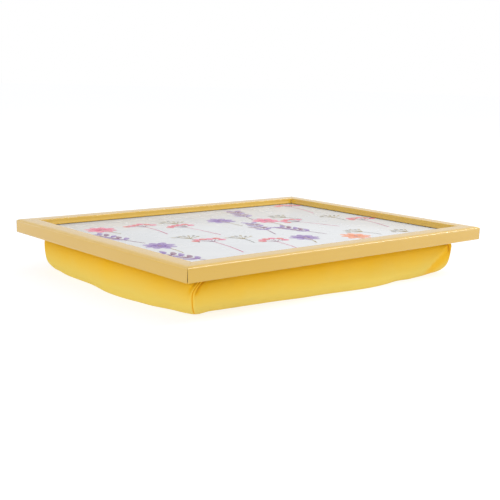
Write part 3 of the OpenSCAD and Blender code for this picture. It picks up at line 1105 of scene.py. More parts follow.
    def build(self) -> None:
        """Makes the sheet and its print, and dresses the boards."""
        low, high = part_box("print_sheet")
        sheet = Bench.soften(Bench.block("sheet", low, high), self.sheet_round)
        place_piece("melamine_sheet", Bench.shade(sheet), Body.TRAY, Melamine(), "print_sheet")
        place_piece("printed_sprigs", self.print_design(low, high), Body.TRAY, Ink())
        for board in (TRAY_BOARD, BACKING_BOARD):
            board.lay_on_node(board.name)


@dataclass(frozen=True)
class Spot:
    """A place on the cushion's outline: its stretch, how far along it, and its corner seam."""

    stretch: int
    along: float
    seam: float
    corner: int
    run: float


@dataclass(frozen=True)
class Row:
    """A ring round the cushion: inset, height, shares of the turns, the cloth's direction."""

    inset: float
    z: float
    near: float
    slow: float
    inward: float
    upward: float
    zone: str
    path: float = 0.0


@dataclass
class CushionForm:
    """The bead-filled cushion's shape: swollen sides, tips that turn under, a pressed base.

    Eight stretches go round from the front side: even ones are sides, odd ones the corners
    after them. A place along a side runs from -1 to 1, and along a corner from 0 to 1. The
    turn table says how far the side turns under at places round the outline, in millimetres:
    how far at the foot, and how much more by the slow turn from tip_z.
    """

    length: float = 398 * MM
    width: float = 288 * MM
    height: float = 42 * MM
    cloth: float = 1 * MM
    swell: float = 6 * MM
    top_draw: float = 5 * MM
    lean_z: float = 33 * MM
    lean_power: float = 2.0
    turn_z: float = 12 * MM
    tip_z: float = 30 * MM
    tip_curve: float = 2.2
    seam_r: float = 6 * MM
    press_flat: float = 0.5 * MM
    foot_in: float = 9 * MM
    base_in: float = 10 * MM
    core: float = 20 * MM
    long_steps: int = 48
    short_steps: int = 34
    corner_steps: int = 16
    seam_lean: tuple[float, ...] = (0.0, 0.0, 0.0, 0.0)
    lean_share: Point = (0.56, 1.04)
    lean_reach: Point = (50 * MM, 8 * MM)
    turns: tuple[tuple[float, float, float], ...] = (
        (0, 9, 11.5), (12, 9, 15), (30, 9, 14), (60, 9, 13.2), (90, 9, 12), (160, 9, 7.2),
        (250, 8.3, 0), (265, 9, 0), (307, 9, 4.5), (321, 9, 2), (345, 9, 3.4),
        (386, 9, 7.5), (395.4, 9, 10), (410, 9, 9), (455, 10, 0), (610, 10, 0),
        (660, 9, 12), (671.4, 9, 14), (680.8, 9, 14), (690, 9, 11), (716, 10, 0),
        (1030, 10, 0), (1057, 9, 6.5), (1066.8, 9, 7), (1076.3, 9, 5), (1117, 9.5, 1.6),
        (1168, 9.5, 3), (1222, 5.2, 0), (1240, 5.2, 0), (1280, 9, 0.5), (1335, 9, 7.8),
        (1361.7, 9, 11.5))
    side_z: tuple[float, ...] = (30 * MM, 26.5 * MM)
    slit: tuple[float, ...] = (14.5 * MM, 18.5 * MM, 22.5 * MM)
    slit_end: float = 0.0

    def size(self, stretch: int) -> float:
        """The length of a stretch of the outline, straight sides taken as such."""
        if stretch % 2:
            return self.seam_r * math.pi / 2
        return (self.length if stretch % 4 == 0 else self.width) - 2 * self.seam_r

    def total(self) -> float:
        """The outline's whole length."""
        return sum(self.size(stretch) for stretch in range(8))

    def runs(self) -> list[float]:
        """Lists how far round the outline each column of points lies, closer at corners.

        Returns:
            The runs, in order, from the front left.
        """
        found: list[float] = []
        start = 0.0
        for stretch in range(8):
            size = self.size(stretch)
            if stretch % 2:
                places = [start + size * k / self.corner_steps
                          for k in range(1, self.corner_steps)]
            else:
                count = self.long_steps if stretch % 4 == 0 else self.short_steps
                steps = (2 * k / count - 1 for k in range(count + 1))
                places = [start + size / 2 * (1 + 0.45 * t + 0.55 * math.sin(math.pi / 2 * t))
                          for t in steps]
            if stretch == 4 and self.slit_end:
                for end in (-self.slit_end, self.slit_end):
                    goal = start + size / 2 + end
                    nearest = min(range(len(places)), key=lambda k: abs(places[k] - goal))
                    places[nearest] = goal
            found += places
            start += size
        return found

    def spot(self, run: float) -> Spot:
        """Finds the place that lies a given run round the outline from the front left.

        Args:
            run: The way round the outline, which may pass its end.

        Returns:
            The place.
        """
        rest = run % self.total()
        stretch = 0
        while stretch < 7 and rest > self.size(stretch):
            rest -= self.size(stretch)
            stretch += 1
        size = self.size(stretch)
        if stretch % 2:
            return Spot(stretch, rest / size, rest - size / 2, stretch // 2, run)
        along = 2 * rest / size - 1
        gap = (1 - abs(along)) * size / 2
        seam = (gap + self.size(1) / 2) * (-1 if along > 0 else 1)
        return Spot(stretch, along, seam, (stretch // 2 + (0 if along > 0 else 3)) % 4, run)

    def leant(self, spot: Spot, z: float) -> float:
        """The run of a point whose corner seam leans aside as it nears the cushion's top."""
        share = smooth(*self.lean_share, z / self.height)
        return spot.run + self.seam_lean[spot.corner] * share * smooth(
            *self.lean_reach, abs(spot.seam))

    def turn(self, run: float) -> tuple[float, float]:
        """How far the side turns under at a place: near the floor, and by the slow turn.

        Args:
            run: The way round the outline.

        Returns:
            The two insets.
        """
        run = run % self.total() / MM
        for (start, *first), (end, *last) in zip(self.turns, self.turns[1:]):
            if run <= end:
                share = smooth(start, end, run)
                return tuple((a + (b - a) * share) * MM for a, b in zip(first, last))
        return self.turns[-1][1] * MM, self.turns[-1][2] * MM

    def slow(self, z: float) -> float:
        """The share of the slow turn that a height has."""
        return max(0.0, 1 - z / self.tip_z) ** self.tip_curve

    def point(self, spot: Spot, inset: float, room: float = 0.0) -> Point:
        """Finds where a spot meets the outline that is drawn in by inset, in plan.

        Args:
            spot: The place on the widest outline.
            inset: How far inside the widest outline the point lies.
            room: How much more the back is drawn in.

        Returns:
            The point.
        """
        x, f = self.length / 2 - inset, self.width / 2 - inset
        b, r = f - room, self.seam_r
        if spot.stretch % 2:
            centre = ((x - r, -f + r), (x - r, b - r), (-x + r, b - r), (-x + r, -f + r))[
                spot.stretch // 2]
            return beyond(centre, math.radians(90 * (spot.stretch // 2 - 1 + spot.along)), r)
        out = self.swell * f / (self.width / 2) * math.cos(math.pi / 2 * spot.along)
        place = spot.along
        middle, half = (b - f) / 2, (f + b) / 2 - r
        return {0: ((x - r) * place, -f - out), 2: (x + out, middle + half * place),
                4: (-(x - r) * place, b), 6: (-x - out, middle - half * place)}[spot.stretch]

    def rows(self) -> list[Row]:
        """Lists the rings from the top's edge, over the side, to well inside the base.

        Returns:
            The rings, each with the cloth's way down to it.
        """
        rise = self.height - self.cloth - self.lean_z
        inside = (self.width - self.core) / 2
        found = [Row(self.top_draw + share * (inside - self.top_draw), self.height, 0, 0, 0, -1,
                     "top") for share in (0.06, 0.02)]
        found += [Row(self.top_draw * t ** self.lean_power, self.lean_z + rise * t, 0, 0, 1, 0,
                      "side") for t in (1 - k / 6 for k in range(7))]
        found += [Row(0, z, 0, self.slow(z), 1, 0, "side")
                  for z in (*self.side_z, *sorted(self.slit, reverse=True))]
        for a in (math.pi / 2 * k / 8 for k in range(9)):
            z = max(0.0, (self.turn_z + self.press_flat) * (1 - math.sin(a)) - self.press_flat)
            found.append(Row(0, z, 1 - math.cos(a), self.slow(z), math.cos(a), math.sin(a),
                             "side"))
        found += [Row(share * (inside - self.base_in), 0, 1, (1 - share) ** 2, 0, 1, "base")
                  for share in (0.03, 0.07, 0.13, 0.21, 0.32, 0.46, 0.62, 0.78)]
        out = found[:1]
        for last, row in zip(found, found[1:]):
            step = math.hypot(row.inset - last.inset + self.foot_in * (row.near - last.near),
                              row.z - last.z)
            out.append(replace(row, path=out[-1].path + step))
        return out

    def patch(self, points: list, ring: Sequence[int], up: bool) -> list[list[int]]:
        """Closes a ring with a grid whose corners are the ring's own corner seams.

        Args:
            points: The mesh's points, to which the grid's own are added.
            ring: The numbers of the ring's points, in the order of the columns.
            up: Whether the grid faces up.

        Returns:
            The grid's faces.
        """
        across = self.long_steps + self.corner_steps
        deep = self.short_steps + self.corner_steps
        count = len(ring)
        edge = [ring[(k - self.corner_steps // 2) % count] for k in range(count)]
        grid = [[0] * (deep + 1) for _ in range(across + 1)]
        for i in range(across + 1):
            grid[i][0], grid[i][deep] = edge[i], edge[2 * across + deep - i]
        for j in range(1, deep):
            grid[across][j], grid[0][j] = edge[across + j], edge[count - j]

        def at(i: int, j: int) -> Vector:
            """The place of a point on the grid's edge."""
            return Vector(points[grid[i][j]])

        for i in range(1, across):
            for j in range(1, deep):
                u, v = i / across, j / deep
                place = (at(i, 0) * (1 - v) + at(i, deep) * v + at(0, j) * (1 - u)
                         + at(across, j) * u - at(0, 0) * (1 - u) * (1 - v)
                         - at(across, 0) * u * (1 - v) - at(0, deep) * (1 - u) * v
                         - at(across, deep) * u * v)
                grid[i][j] = len(points)
                points.append(tuple(place))
        way = 1 if up else -1
        return [[grid[i][j], grid[i + 1][j], grid[i + 1][j + 1], grid[i][j + 1]][::way]
                for i in range(across) for j in range(deep)]

    def surface(self, depth: float = 0.0, room: float = 0.0) -> Obj:
        """Makes the closed surface, laid inward by depth, with a map of the cloth's cut.

        Args:
            depth: How far the surface lies inside the cushion's outer form.
            room: How much more it is drawn in along the back, behind the zip.

        Returns:
            The object; its points go ring by ring, then over the top and the base.
        """
        spots, rows = [self.spot(run) for run in self.runs()], self.rows()
        count = len(spots)
        points, mapped = [], []
        for row in rows:
            for spot in spots:
                run = self.leant(spot, row.z)
                near, slow = self.turn(run)
                inset = row.inset + near * row.near + slow * row.slow + depth * row.inward
                points.append((*self.point(self.spot(run), inset, room),
                               row.z + depth * row.upward))
                mapped.append((run, row.path))
        faces, cuts = [], []
        for j in range(len(rows) - 1):
            side = "side" in (rows[j].zone, rows[j + 1].zone)
            for i in range(count):
                k = (i + 1) % count
                face = [j * count + i, (j + 1) * count + i, (j + 1) * count + k, j * count + k]
                wrap = self.total() if k == 0 else 0.0
                faces.append(face)
                cuts.append([(mapped[n][0] + (wrap if n % count == k else 0.0), mapped[n][1])
                             if side else points[n][:2] for n in face])
        last = (len(rows) - 1) * count
        for ring, up in ((range(count), True), (range(last, last + count), False)):
            closing = self.patch(points, ring, up)
            faces += closing
            cuts += [[points[n][:2] for n in face] for face in closing]
        obj = Bench.mesh("cloth", points, faces)
        layer = obj.data.uv_layers.new(name="cut")
        layer.uv.foreach_set("vector", [part for cut in cuts for place in cut for part in place])
        return obj


@dataclass
class Cushion:
    """The yellow cushion: its cover, top cloth, liner and bead filling.

    Corners go by number: 0 and 1 are the front and back right, 2 and 3 the back and front left.
    A gather has its distance from the corner seam and its depth, in millimetres.
    """

    start_in: float = 1.4 * MM
    frames: int = 20
    cap: float = 2.8 * MM
    corner_slack: tuple[float, ...] = (0.2, 0.5, 1.0, 0.5)
    slit_slack: float = 0.5 * MM
    thickness: float = 0.8 * MM
    seam_depth: float = 1.1 * MM
    seam_w: float = 0.5 * MM
    seam_roll: float = 0.5 * MM
    roll_at: float = 2.4 * MM
    roll_w: float = 1.4 * MM
    wander: float = 0.9 * MM
    wander_scale: Point = (14, 30)
    wander_reach: Point = (3 * MM, 30 * MM)
    drag: float = 0.7 * MM
    drag_scale: Point = (55, 8)
    drag_reach: Point = (3 * MM, 12 * MM)
    drag_z: Point = (20 * MM, 38 * MM)
    fold_fade: Point = (5 * MM, 4 * MM)
    slack_reach: Point = (5 * MM, 60 * MM)
    rim_fade: float = 5 * MM
    foot_fade: float = 4 * MM
    zip_held: Point = (1.0, 0.82)
    zip_flat: Point = (0.75, 0.95)
    gathers: tuple[Point, ...] = ((3.8, 2.6), (9.0, 0.9), (15.0, 0.5))
    gather_z: Point = (19 * MM, 33 * MM)
    crease_from: Point = (190 * MM, 38 * MM)
    crease_to: Point = (156 * MM, 16 * MM)
    crease_roll: float = 0.9 * MM
    crease_w: float = 2.5 * MM
    crease_sink: float = 1.3 * MM
    # The share of painted shade below the crease.
    crease_painted_shade: float = 0.45
    crease_side: Point = (60 * MM, -100 * MM)
    base_wave: float = 0.6 * MM
    bag_wave: float = 0.3 * MM
    bag_room: float = 2.2 * MM
    cloth: ClassVar[dict[str, Any]] = {
        "quality": 6, "mass": 0.25, "tension_stiffness": 22, "compression_stiffness": 22,
        "shear_stiffness": 8, "bending_stiffness": 0.8, "vertex_group_mass": "held",
        "pin_stiffness": 1.0, "use_pressure": True, "uniform_pressure_force": 4.0}

    def __post_init__(self) -> None:
        """Takes the zip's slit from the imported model."""
        low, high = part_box("zip_slider")
        self.form = CushionForm(
            seam_lean=(-4 * MM, 3 * MM, -3 * MM, 11 * MM), slit_end=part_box("zip_stops")[1].x,
            slit=(low.z - self.slit_slack, (low.z + high.z) / 2, high.z + self.slit_slack))
        self.spots = [self.form.spot(run) for run in self.form.runs()]
        self.rows = self.form.rows()
        self.rim = self.form.height - self.form.cloth

    def place(self, index: int) -> tuple[Row | None, Spot | None]:
        """The ring and the spot that a point of the surface lies on, if it is on a ring.

        Args:
            index: The point's number.

        Returns:
            The ring and the spot, or None for both.
        """
        ring, column = divmod(index, len(self.spots))
        if ring >= len(self.rows):
            return None, None
        return self.rows[ring], self.spots[column]

    def held(self, index: int) -> float:
        """How firmly a point is held while the beads press the cloth out, from 0 to 1.

        Args:
            index: The point's number.

        Returns:
            Its hold.
        """
        row, spot = self.place(index)
        if row is None or row.zone != "side":
            return 1.0
        ends = max(1 - smooth(0, self.rim_fade, self.rim - row.z),
                   1 - smooth(0, self.foot_fade, row.z))
        if spot.stretch == 4:
            return max(ends, smooth(*self.zip_held, abs(spot.along)))
        return ends

    def slack(self, index: int) -> float:
        """How much of the cloth's slack a point has: less at the taut corner seams.

        Args:
            index: The point's number.

        Returns:
            Its share, up to 1.
        """
        _, spot = self.place(index)
        if not spot:
            return 1.0
        least = self.corner_slack[spot.corner]
        return least + (1 - least) * smooth(*self.slack_reach, abs(spot.seam))

    def inflate(self, obj: Obj) -> None:
        """Lets the beads' pressure swell the cloth, within a cap from where it was cut.

        Args:
            obj: The closed surface, at the cushion's own size.
        """
        verts = obj.data.vertices
        held = [self.held(index) for index in range(len(verts))]
        normals = [Vector(vert.normal) for vert in verts]
        start = [vert.co - normal * self.start_in * (1 - share) * self.slack(index)
                 for index, (vert, normal, share) in enumerate(zip(verts, normals, held))]
        for vert, point in zip(verts, start):
            vert.co = point
        group = obj.vertex_groups.new(name="held")
        for index, share in enumerate(held):
            group.add([index], share, "REPLACE")
        cloth = obj.modifiers.new("Cloth", "CLOTH")
        for key, value in self.cloth.items():
            setattr(cloth.settings, key, value)
        cloth.settings.effector_weights.gravity = 0
        cloth.collision_settings.use_collision = False
        cloth.collision_settings.use_self_collision = False
        cloth.point_cache.frame_start, cloth.point_cache.frame_end = 1, self.frames
        for step in range(1, self.frames + 1):
            bpy.context.scene.frame_set(step)
        Bench.hold(obj)
        bpy.ops.object.modifier_apply(modifier=cloth.name)
        bpy.context.scene.frame_set(1)
        for vert, point in zip(obj.data.vertices, start):
            moved = vert.co - point
            if moved.length > self.cap:
                vert.co = point + moved * (self.cap / moved.length)

    def fold(self, spot: Spot, x: float, y: float, z: float) -> float:
        """How far a point of the side stands out beyond the swollen form, in metres.

        Args:
            spot: The point's place on the outline.
            x: Its place along the long side.
            y: Its place to the back.
            z: Its height.

        Returns:
            The distance, below 0 for a hollow.
        """
        near = abs(spot.seam)
        out = (self.seam_roll * hump(near - self.roll_at, self.roll_w)
               - self.seam_depth * hump(near, self.seam_w))
        for depth, scale, reach, layer in (
                (self.wander, self.wander_scale, self.wander_reach, 3.1),
                (self.drag * smooth(*self.drag_z, z), self.drag_scale, self.drag_reach, 7.7)):
            place = Vector((spot.run * scale[0], z * scale[1], layer))
            out += depth * smooth(*reach, near) * noise.noise(place)
        out += self.pucker(spot, z) + self.crease(x, y, z)
        if spot.stretch == 4:
            out *= smooth(*self.zip_flat, abs(spot.along))
        foot, rim = self.fold_fade
        return out * smooth(0, foot, z) * smooth(0, rim, self.rim - z)

    def pucker(self, spot: Spot, z: float) -> float:
        """The gathers that run down beside a corner seam from the cushion's top.

        Args:
            spot: The point's place on the outline.
            z: Its height.

        Returns:
            How far the point stands out, 0 or less.
        """
        if spot.corner == 2:
            return 0.0
        reach = smooth(*self.gather_z, z)
        side = 1.0 if (spot.seam > 0) == (spot.corner == 3) else 0.5
        return -reach * side * sum(
            depth * MM * hump(abs(spot.seam) - offset * MM * (0.6 + 0.8 * reach),
                              (1.0 + 1.6 * reach) * MM) for offset, depth in self.gathers)

    def crease(self, x: float, y: float, z: float) -> float:
        """The slanting crease near the front side's right end, and what sinks below it.

        Args:
            x: The point's place along the long side.
            y: Its place to the back.
            z: Its height.

        Returns:
            How far the point stands out.
        """
        if x < self.crease_side[0] or y > self.crease_side[1]:
            return 0.0
        start, end = Vector(self.crease_from), Vector(self.crease_to)
        along = (end - start).normalized()
        offset = Vector((x, z)) - start
        below = offset.x * -along.y + offset.y * along.x
        share = offset.dot(along) / (end - start).length
        return smooth(-0.1, 0.25, share) * smooth(1.5, 0.8, share) * (
            self.crease_roll * hump(below, self.crease_w)
            - self.crease_sink * smooth(0, 7 * MM, below) * smooth(30 * MM, 8 * MM, below))

    def dress(self, obj: Obj) -> None:
        """Adds seams, folds and the crease to the swollen surface, marks where shade is painted
        into them, and keeps it off the floor.

        Args:
            obj: The closed surface.
        """
        normals = [Vector(vert.normal) for vert in obj.data.vertices]
        # A painted shade mask: full in the corner seams and puckers, and a share of it below the
        # crease.
        painted_shade_mask = obj.data.attributes.new("seam", "FLOAT", "POINT")
        for index, (vert, normal) in enumerate(zip(obj.data.vertices, normals)):
            row, spot = self.place(index)
            point = vert.co.copy()
            if row is not None and row.zone == "side":
                painted_shade_mask.data[index].value = max(
                    hump(spot.seam, self.seam_w),
                    smooth(0, 2 * MM, -self.pucker(spot, point.z)),
                    self.crease_painted_shade * smooth(0, 1.2 * MM, -self.crease(*point)))
                point += normal * self.fold(spot, *point)
            elif row is not None and row.zone == "base":
                point.z += self.base_wave * noise.noise(
                    Vector((point.x * 22, point.y * 22, 1.3)))
            point.z = min(max(point.z, 0.0), self.form.height)
            vert.co = point

    def split(self, obj: Obj) -> Obj:
        """Parts the top cloth from the cover, and opens the zip's slit.

        Args:
            obj: The closed surface, which keeps the sides and the base.

        Returns:
            The top cloth.
        """
        count = len(self.spots)
        rings = count * len(self.rows)
        rim = (1 + sum(row.zone == "top" for row in self.rows)) * count
        grid = (len(obj.data.vertices) - rings) // 2
        end = self.form.slit_end + 0.05 * MM

        def in_slit(index: int) -> bool:
            """Whether a point lies on the edge of the zip's slit or in it."""
            row, spot = self.place(index)
            return (row is not None and row.z in self.form.slit and spot.stretch == 4
                    and abs(obj.data.vertices[index].co.x) < end)

        for face in obj.data.polygons:
            if all(n < rim or rings <= n < rings + grid for n in face.vertices):
                face.material_index = 1
            elif all(in_slit(n) for n in face.vertices):
                face.material_index = 2
        with Bench.editing(obj):
            Bench.pick(obj, Pick.FACE, lambda face: face.material_index == 2)
            bpy.ops.mesh.delete(type="FACE")
            Bench.pick(obj, Pick.FACE, lambda face: face.material_index == 1)
            bpy.ops.mesh.separate(type="SELECTED")
        top = next(other for other in bpy.context.selected_objects if other != obj)
        for piece in (obj, top):
            for face in piece.data.polygons:
                face.material_index = 0
        return top

    def build(self) -> None:
        """Makes the cushion's four pieces."""
        cover = self.form.surface()
        self.inflate(cover)
        self.dress(cover)
        top = self.split(cover)
        for piece, name, node in ((cover, "cushion_cover_sewn", "cushion_cover"),
                                  (top, "cushion_top_sewn", "cushion_top_panel")):
            Bench.modify(piece, "SUBSURF", levels=1, render_levels=1)
            Bench.modify(piece, "SOLIDIFY", thickness=self.thickness, offset=-1)
            place_piece(name, Bench.shade(piece, 60), Body.CUSHION, YELLOW_CLOTH, node)
        self.inside()

    def inside(self) -> None:
        """Makes the liner bag and the beads in it, both clear of the cover's folds."""
        form = CushionForm(long_steps=24, short_steps=18, corner_steps=4)
        for name, depth, node, finish in (("liner_bag", 4.2 * MM, "inner_liner", LINER_CLOTH),
                                          ("bead_filling", 5.2 * MM, "bead_fill", BEADS)):
            bag = form.surface(depth, self.bag_room)
            normals = [Vector(vert.normal) for vert in bag.data.vertices]
            for vert, normal in zip(bag.data.vertices, normals):
                vert.co -= normal * self.bag_wave * (1 + noise.noise(vert.co * 60))
            place_piece(name, Bench.shade(bag, 60), Body.CUSHION, finish, node)


@dataclass
class HookAndLoop:
    """The pads that hold the tray on the cushion: hooks above, loops sewn on below."""

    pad_l: float = 60 * MM
    pad_w: float = 25 * MM
    corner: float = 2.5 * MM
    hem: float = 1.8 * MM
    pile_h: float = 0.12 * MM
    pile_slope: float = 0.4 * MM
    stitch_l: float = 2.4 * MM
    stitch_w: float = 0.45 * MM
    stitch_h: float = 0.2 * MM
    stitch_round: float = 0.09 * MM
    stitch_step: float = 1.35

    def pads(self, node: str, up: int) -> Obj:
        """Models the four pads of one layer, at the corners of the node's box.

        Args:
            node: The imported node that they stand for.
            up: 1 if the pile faces up, or -1 if it faces down.

        Returns:
            The pads, as one object.
        """
        low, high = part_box(node)
        right, back = high.x - self.pad_l, high.y - self.pad_w
        made = []
        for x, y in ((low.x, low.y), (right, low.y), (right, back), (low.x, back)):
            pad = Bench.block("pad", (x, y, low.z), (x + self.pad_l, y + self.pad_w, high.z))
            with Bench.editing(pad):
                Bench.pick(pad, Pick.EDGE, lambda edge: extent(edge, 2) > 0.5 * MM)
                Bench.round_off(self.corner, 5)
                Bench.pick(pad, Pick.FACE, lambda face: face.normal.z * up > 0.9)
                bpy.ops.mesh.inset(thickness=self.hem)
                bpy.ops.mesh.inset(thickness=self.pile_slope, depth=self.pile_h)
                Bench.pick(pad, Pick.FACE, lambda face: face.normal.z * up > 0.9
                           and face.calc_area() < 2 * self.pad_l * self.hem)
                bpy.ops.transform.translate(value=(0, 0, -self.pile_h * up))
            made.append(Bench.shade(pad, 40))
        return Bench.join(made)

    def stitches(self) -> Obj:
        """Sews a line of stitches round each loop pad.

        Returns:
            The stitches, as one object.
        """
        low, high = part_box("loop_pads")
        size = Vector((self.stitch_l, self.stitch_w, self.stitch_h)) / 2
        model = Bench.soften(Bench.block("stitch", -size, size), self.stitch_round)
        pitch = self.stitch_l * self.stitch_step
        half = Vector((self.pad_l, self.pad_w)) / 2
        parts = []
        for x in (low.x + half.x, high.x - half.x):
            for y in (low.y + half.y, high.y - half.y):
                for axis, side in ((0, -1), (0, 1), (1, -1), (1, 1)):
                    count = int(2 * (half[axis] - self.corner) / pitch)
                    for k in range(count):
                        spot = Vector((x, y, high.z - self.pile_h))
                        spot[axis] += pitch * (k - (count - 1) / 2)
                        spot[1 - axis] += side * (half[1 - axis] - self.hem / 2)
                        copy = model.copy()
                        copy.data = model.data.copy()
                        copy.data.transform(Matrix.Translation(spot)
                                            @ Matrix.Rotation(math.pi / 2 * axis, 4, "Z"))
                        bpy.context.scene.collection.objects.link(copy)
                        parts.append(copy)
        bpy.data.objects.remove(model)
        return Bench.shade(Bench.join(parts), 60)

    def build(self) -> None:
        """Makes both layers and the stitches."""
        for node, up, body, finish in (("hook_pads", -1, Body.TRAY, HOOKS),
                                       ("loop_pads", 1, Body.CUSHION, LOOPS)):
            place_piece(node + "_made", self.pads(node, up), body, finish, node)
        place_piece("pad_stitches", self.stitches(), Body.CUSHION, THREAD)


@dataclass
class Zip:
    """The zip in the cushion's back: tapes, teeth, stops, slider and pull."""

    tape_round: float = 0.08 * MM
    pitch: float = 3 * MM
    rib: float = 0.6 * MM
    neck_z: float = -0.4 * MM
    head_z: float = 0.1 * MM
    head_room: float = 0.1 * MM
    tooth_round: float = 0.16 * MM
    plate: float = 0.7 * MM
    plate_room: float = 0.25 * MM
    plate_round: float = 0.18 * MM
    nose_r: float = 1.6 * MM
    tail_r: float = 2.0 * MM
    wedge_l: float = 1.6 * MM
    wedge_w: float = 2.2 * MM
    flange: float = 0.6 * MM
    mouth: float = 2.0 * MM
    tape_room: float = 0.5 * MM
    running: float = 0.2 * MM
    small_round: float = 0.12 * MM
    pin_r: float = 0.5 * MM
    pin_end: float = 0.2 * MM
    bore_play: float = 0.06 * MM
    eye_r: float = 1.05 * MM
    foot_flare: float = 1.5
    foot_sunk: float = 0.3 * MM
    neck_w: float = 2.6 * MM
    neck_lap: float = 1 * MM
    ear_w: float = 0.8 * MM
    play: float = 0.15 * MM
    pull_h: float = 1.0 * MM
    pull_round: float = 0.1 * MM
    grip_r: float = 2.9 * MM
    shoulder_r: float = 1.2 * MM
    bore_l: float = 6 * MM
    hole_r: float = 1.4 * MM
    hole_l: float = 4 * MM
    hole_in: float = 3 * MM
    dish_h: float = 0.19 * MM
    dish_w: float = 3.2 * MM
    dish_in: Point = (2 * MM, 6.5 * MM)

    def __post_init__(self) -> None:
        """Takes the line of the zip and the pull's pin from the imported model."""
        self.low, self.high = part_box("zip_teeth")
        _, self.y, self.z = (self.low + self.high) / 2
        self.pin_y = sum(corner.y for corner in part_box("zip_pull")) / 2

    def tapes(self) -> Obj:
        """Models the two tapes, each with a corded inner edge and a turned outer one.

        Returns:
            The tapes, as one object.
        """
        low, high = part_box("zip_tapes")
        made = []
        for near, far in ((self.low.z, low.z), (self.high.z, high.z)):
            tape = Bench.block("tape", (low.x, low.y, near), (high.x, high.y, far))
            with Bench.editing(tape):
                for share in (0.12, 0.2, 0.86):
                    Bench.slice_at((0, 0, near + (far - near) * share), (0, 0, 1))
                Bench.pick(tape, Pick.FACE, lambda face: abs(face.normal.y) > 0.9 and abs(
                    face.calc_center_median().z - near) > 0.2 * abs(far - near))
                bpy.ops.transform.resize(value=(1, 0.8, 1), center_override=(0, self.y, 0))
            made.append(Bench.soften(tape, self.tape_round))
        return Bench.shade(Bench.join(made))

    def teeth(self) -> Obj:
        """Models one tooth, repeats it along a row and sets two rows in mesh.

        Returns:
            The teeth with their ribs, as one object.
        """
        depth = (self.high.y - self.low.y) / 2
        half = (self.high.z - self.low.z) / 2
        count = int((self.high.x - self.low.x) / self.pitch)
        rows = []
        for side, start in ((1, self.low.x), (-1, self.low.x + self.pitch / 2)):
            tooth = Bench.block("tooth", (start, self.y - depth, -half + self.rib + self.play),
                                (start + self.pitch / 2 - self.play, self.y + depth,
                                 half - self.head_room))
            with Bench.editing(tooth):
                for level in (self.neck_z, self.head_z):
                    Bench.slice_at((0, 0, level), (0, 0, 1))
                Bench.pick(tooth, Pick.VERT, lambda vert: abs(vert.co.z - self.head_z) < NEAR)
                bpy.ops.transform.resize(value=(0.72, 0.9, 1))
            Bench.soften(tooth, self.tooth_round)
            Bench.modify(tooth, "ARRAY", count=count, use_relative_offset=False,
                         use_constant_offset=True, constant_offset_displace=(self.pitch, 0, 0))
            level = half - self.rib / 2
            rib = Bench.rod("rib", (self.low.x, self.y, level), (self.high.x, self.y, level),
                            self.rib / 2, 12)
            with Bench.editing(rib):
                Bench.stretch((1, 2 * depth / self.rib, 1), (0, self.y, 0))
            row = Bench.join([tooth, rib])
            row.scale.z = side
            row.location.z = self.z
            rows.append(Bench.settle(row))
        Bench.face_outward(rows[1])
        return Bench.shade(Bench.join(rows), 40)

    @staticmethod
    def round_ends(plate: Obj, *ends: tuple[float, float, int]) -> None:
        """Rounds a plate's corners, seen along Y, at each end's X by its radius.

        Args:
            plate: The plate.
            *ends: Each end's X, its radius and its segments.
        """
        with Bench.editing(plate):
            for x, radius, segments in ends:
                Bench.pick(plate, Pick.EDGE, lambda edge: extent(edge, 1) > 0.3 * MM
                           and abs(edge.verts[0].co.x - x) < NEAR)
                Bench.round_off(radius, segments)

    def slider(self) -> Obj:
        """Models the slider: two shield-shaped plates, rims, a wedge, and ears with a pin.

        Returns:
            The slider, as one object.
        """
        low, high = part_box("zip_slider")
        middle = (low.x + high.x) / 2
        gap = self.high.y + self.plate_room - self.y
        parts = []
        for side in (-1, 1):
            inner = self.y + side * gap
            plate = Bench.block("plate", (low.x, inner, low.z),
                                (high.x, inner + side * self.plate, high.z))
            self.round_ends(plate, (high.x, self.nose_r, 4), (low.x, self.tail_r, 5))
            parts.append(Bench.soften(plate, self.plate_round))
            for edge in (low.z, high.z - self.flange):
                rim = Bench.block(
                    "rim", (low.x + self.mouth, self.y + side * self.tape_room, edge),
                    (high.x - self.mouth, inner, edge + self.flange))
                parts.append(Bench.soften(rim, self.small_round))
            stub = Bench.block(
                "wedge", (low.x + self.running, inner - side * self.running,
                          self.z - self.wedge_w / 2),
                (low.x + self.running + self.wedge_l, inner, self.z + self.wedge_w / 2))
            parts.append(Bench.soften(stub, self.running / 3))
        clear = self.neck_w / 2 + self.play
        foot_w = self.eye_r * self.foot_flare
        for side in (-1, 1):
            near, far = sorted(self.z + side * reach for reach in (clear, clear + self.ear_w))
            ear = Bench.rod("ear", (middle, self.pin_y, near), (middle, self.pin_y, far),
                            self.eye_r)
            foot = Bench.block(
                "foot", (middle - foot_w, self.y + gap + self.plate - self.foot_sunk, near),
                (middle + foot_w, self.pin_y, far))
            with Bench.editing(foot):
                Bench.pick(foot, Pick.VERT, lambda vert: vert.co.y > self.pin_y - NEAR)
                bpy.ops.transform.resize(value=(1 / self.foot_flare, 1, 1),
                                         center_override=(middle, self.pin_y, self.z))
            Bench.cut(ear, foot, "UNION")
            parts.append(Bench.soften(ear, self.small_round))
        reach = clear + self.pin_end
        parts.append(Bench.rod("pin", (middle, self.pin_y, self.z - reach),
                               (middle, self.pin_y, self.z + reach), self.pin_r, 24))
        return Bench.shade(Bench.join(parts), 40)

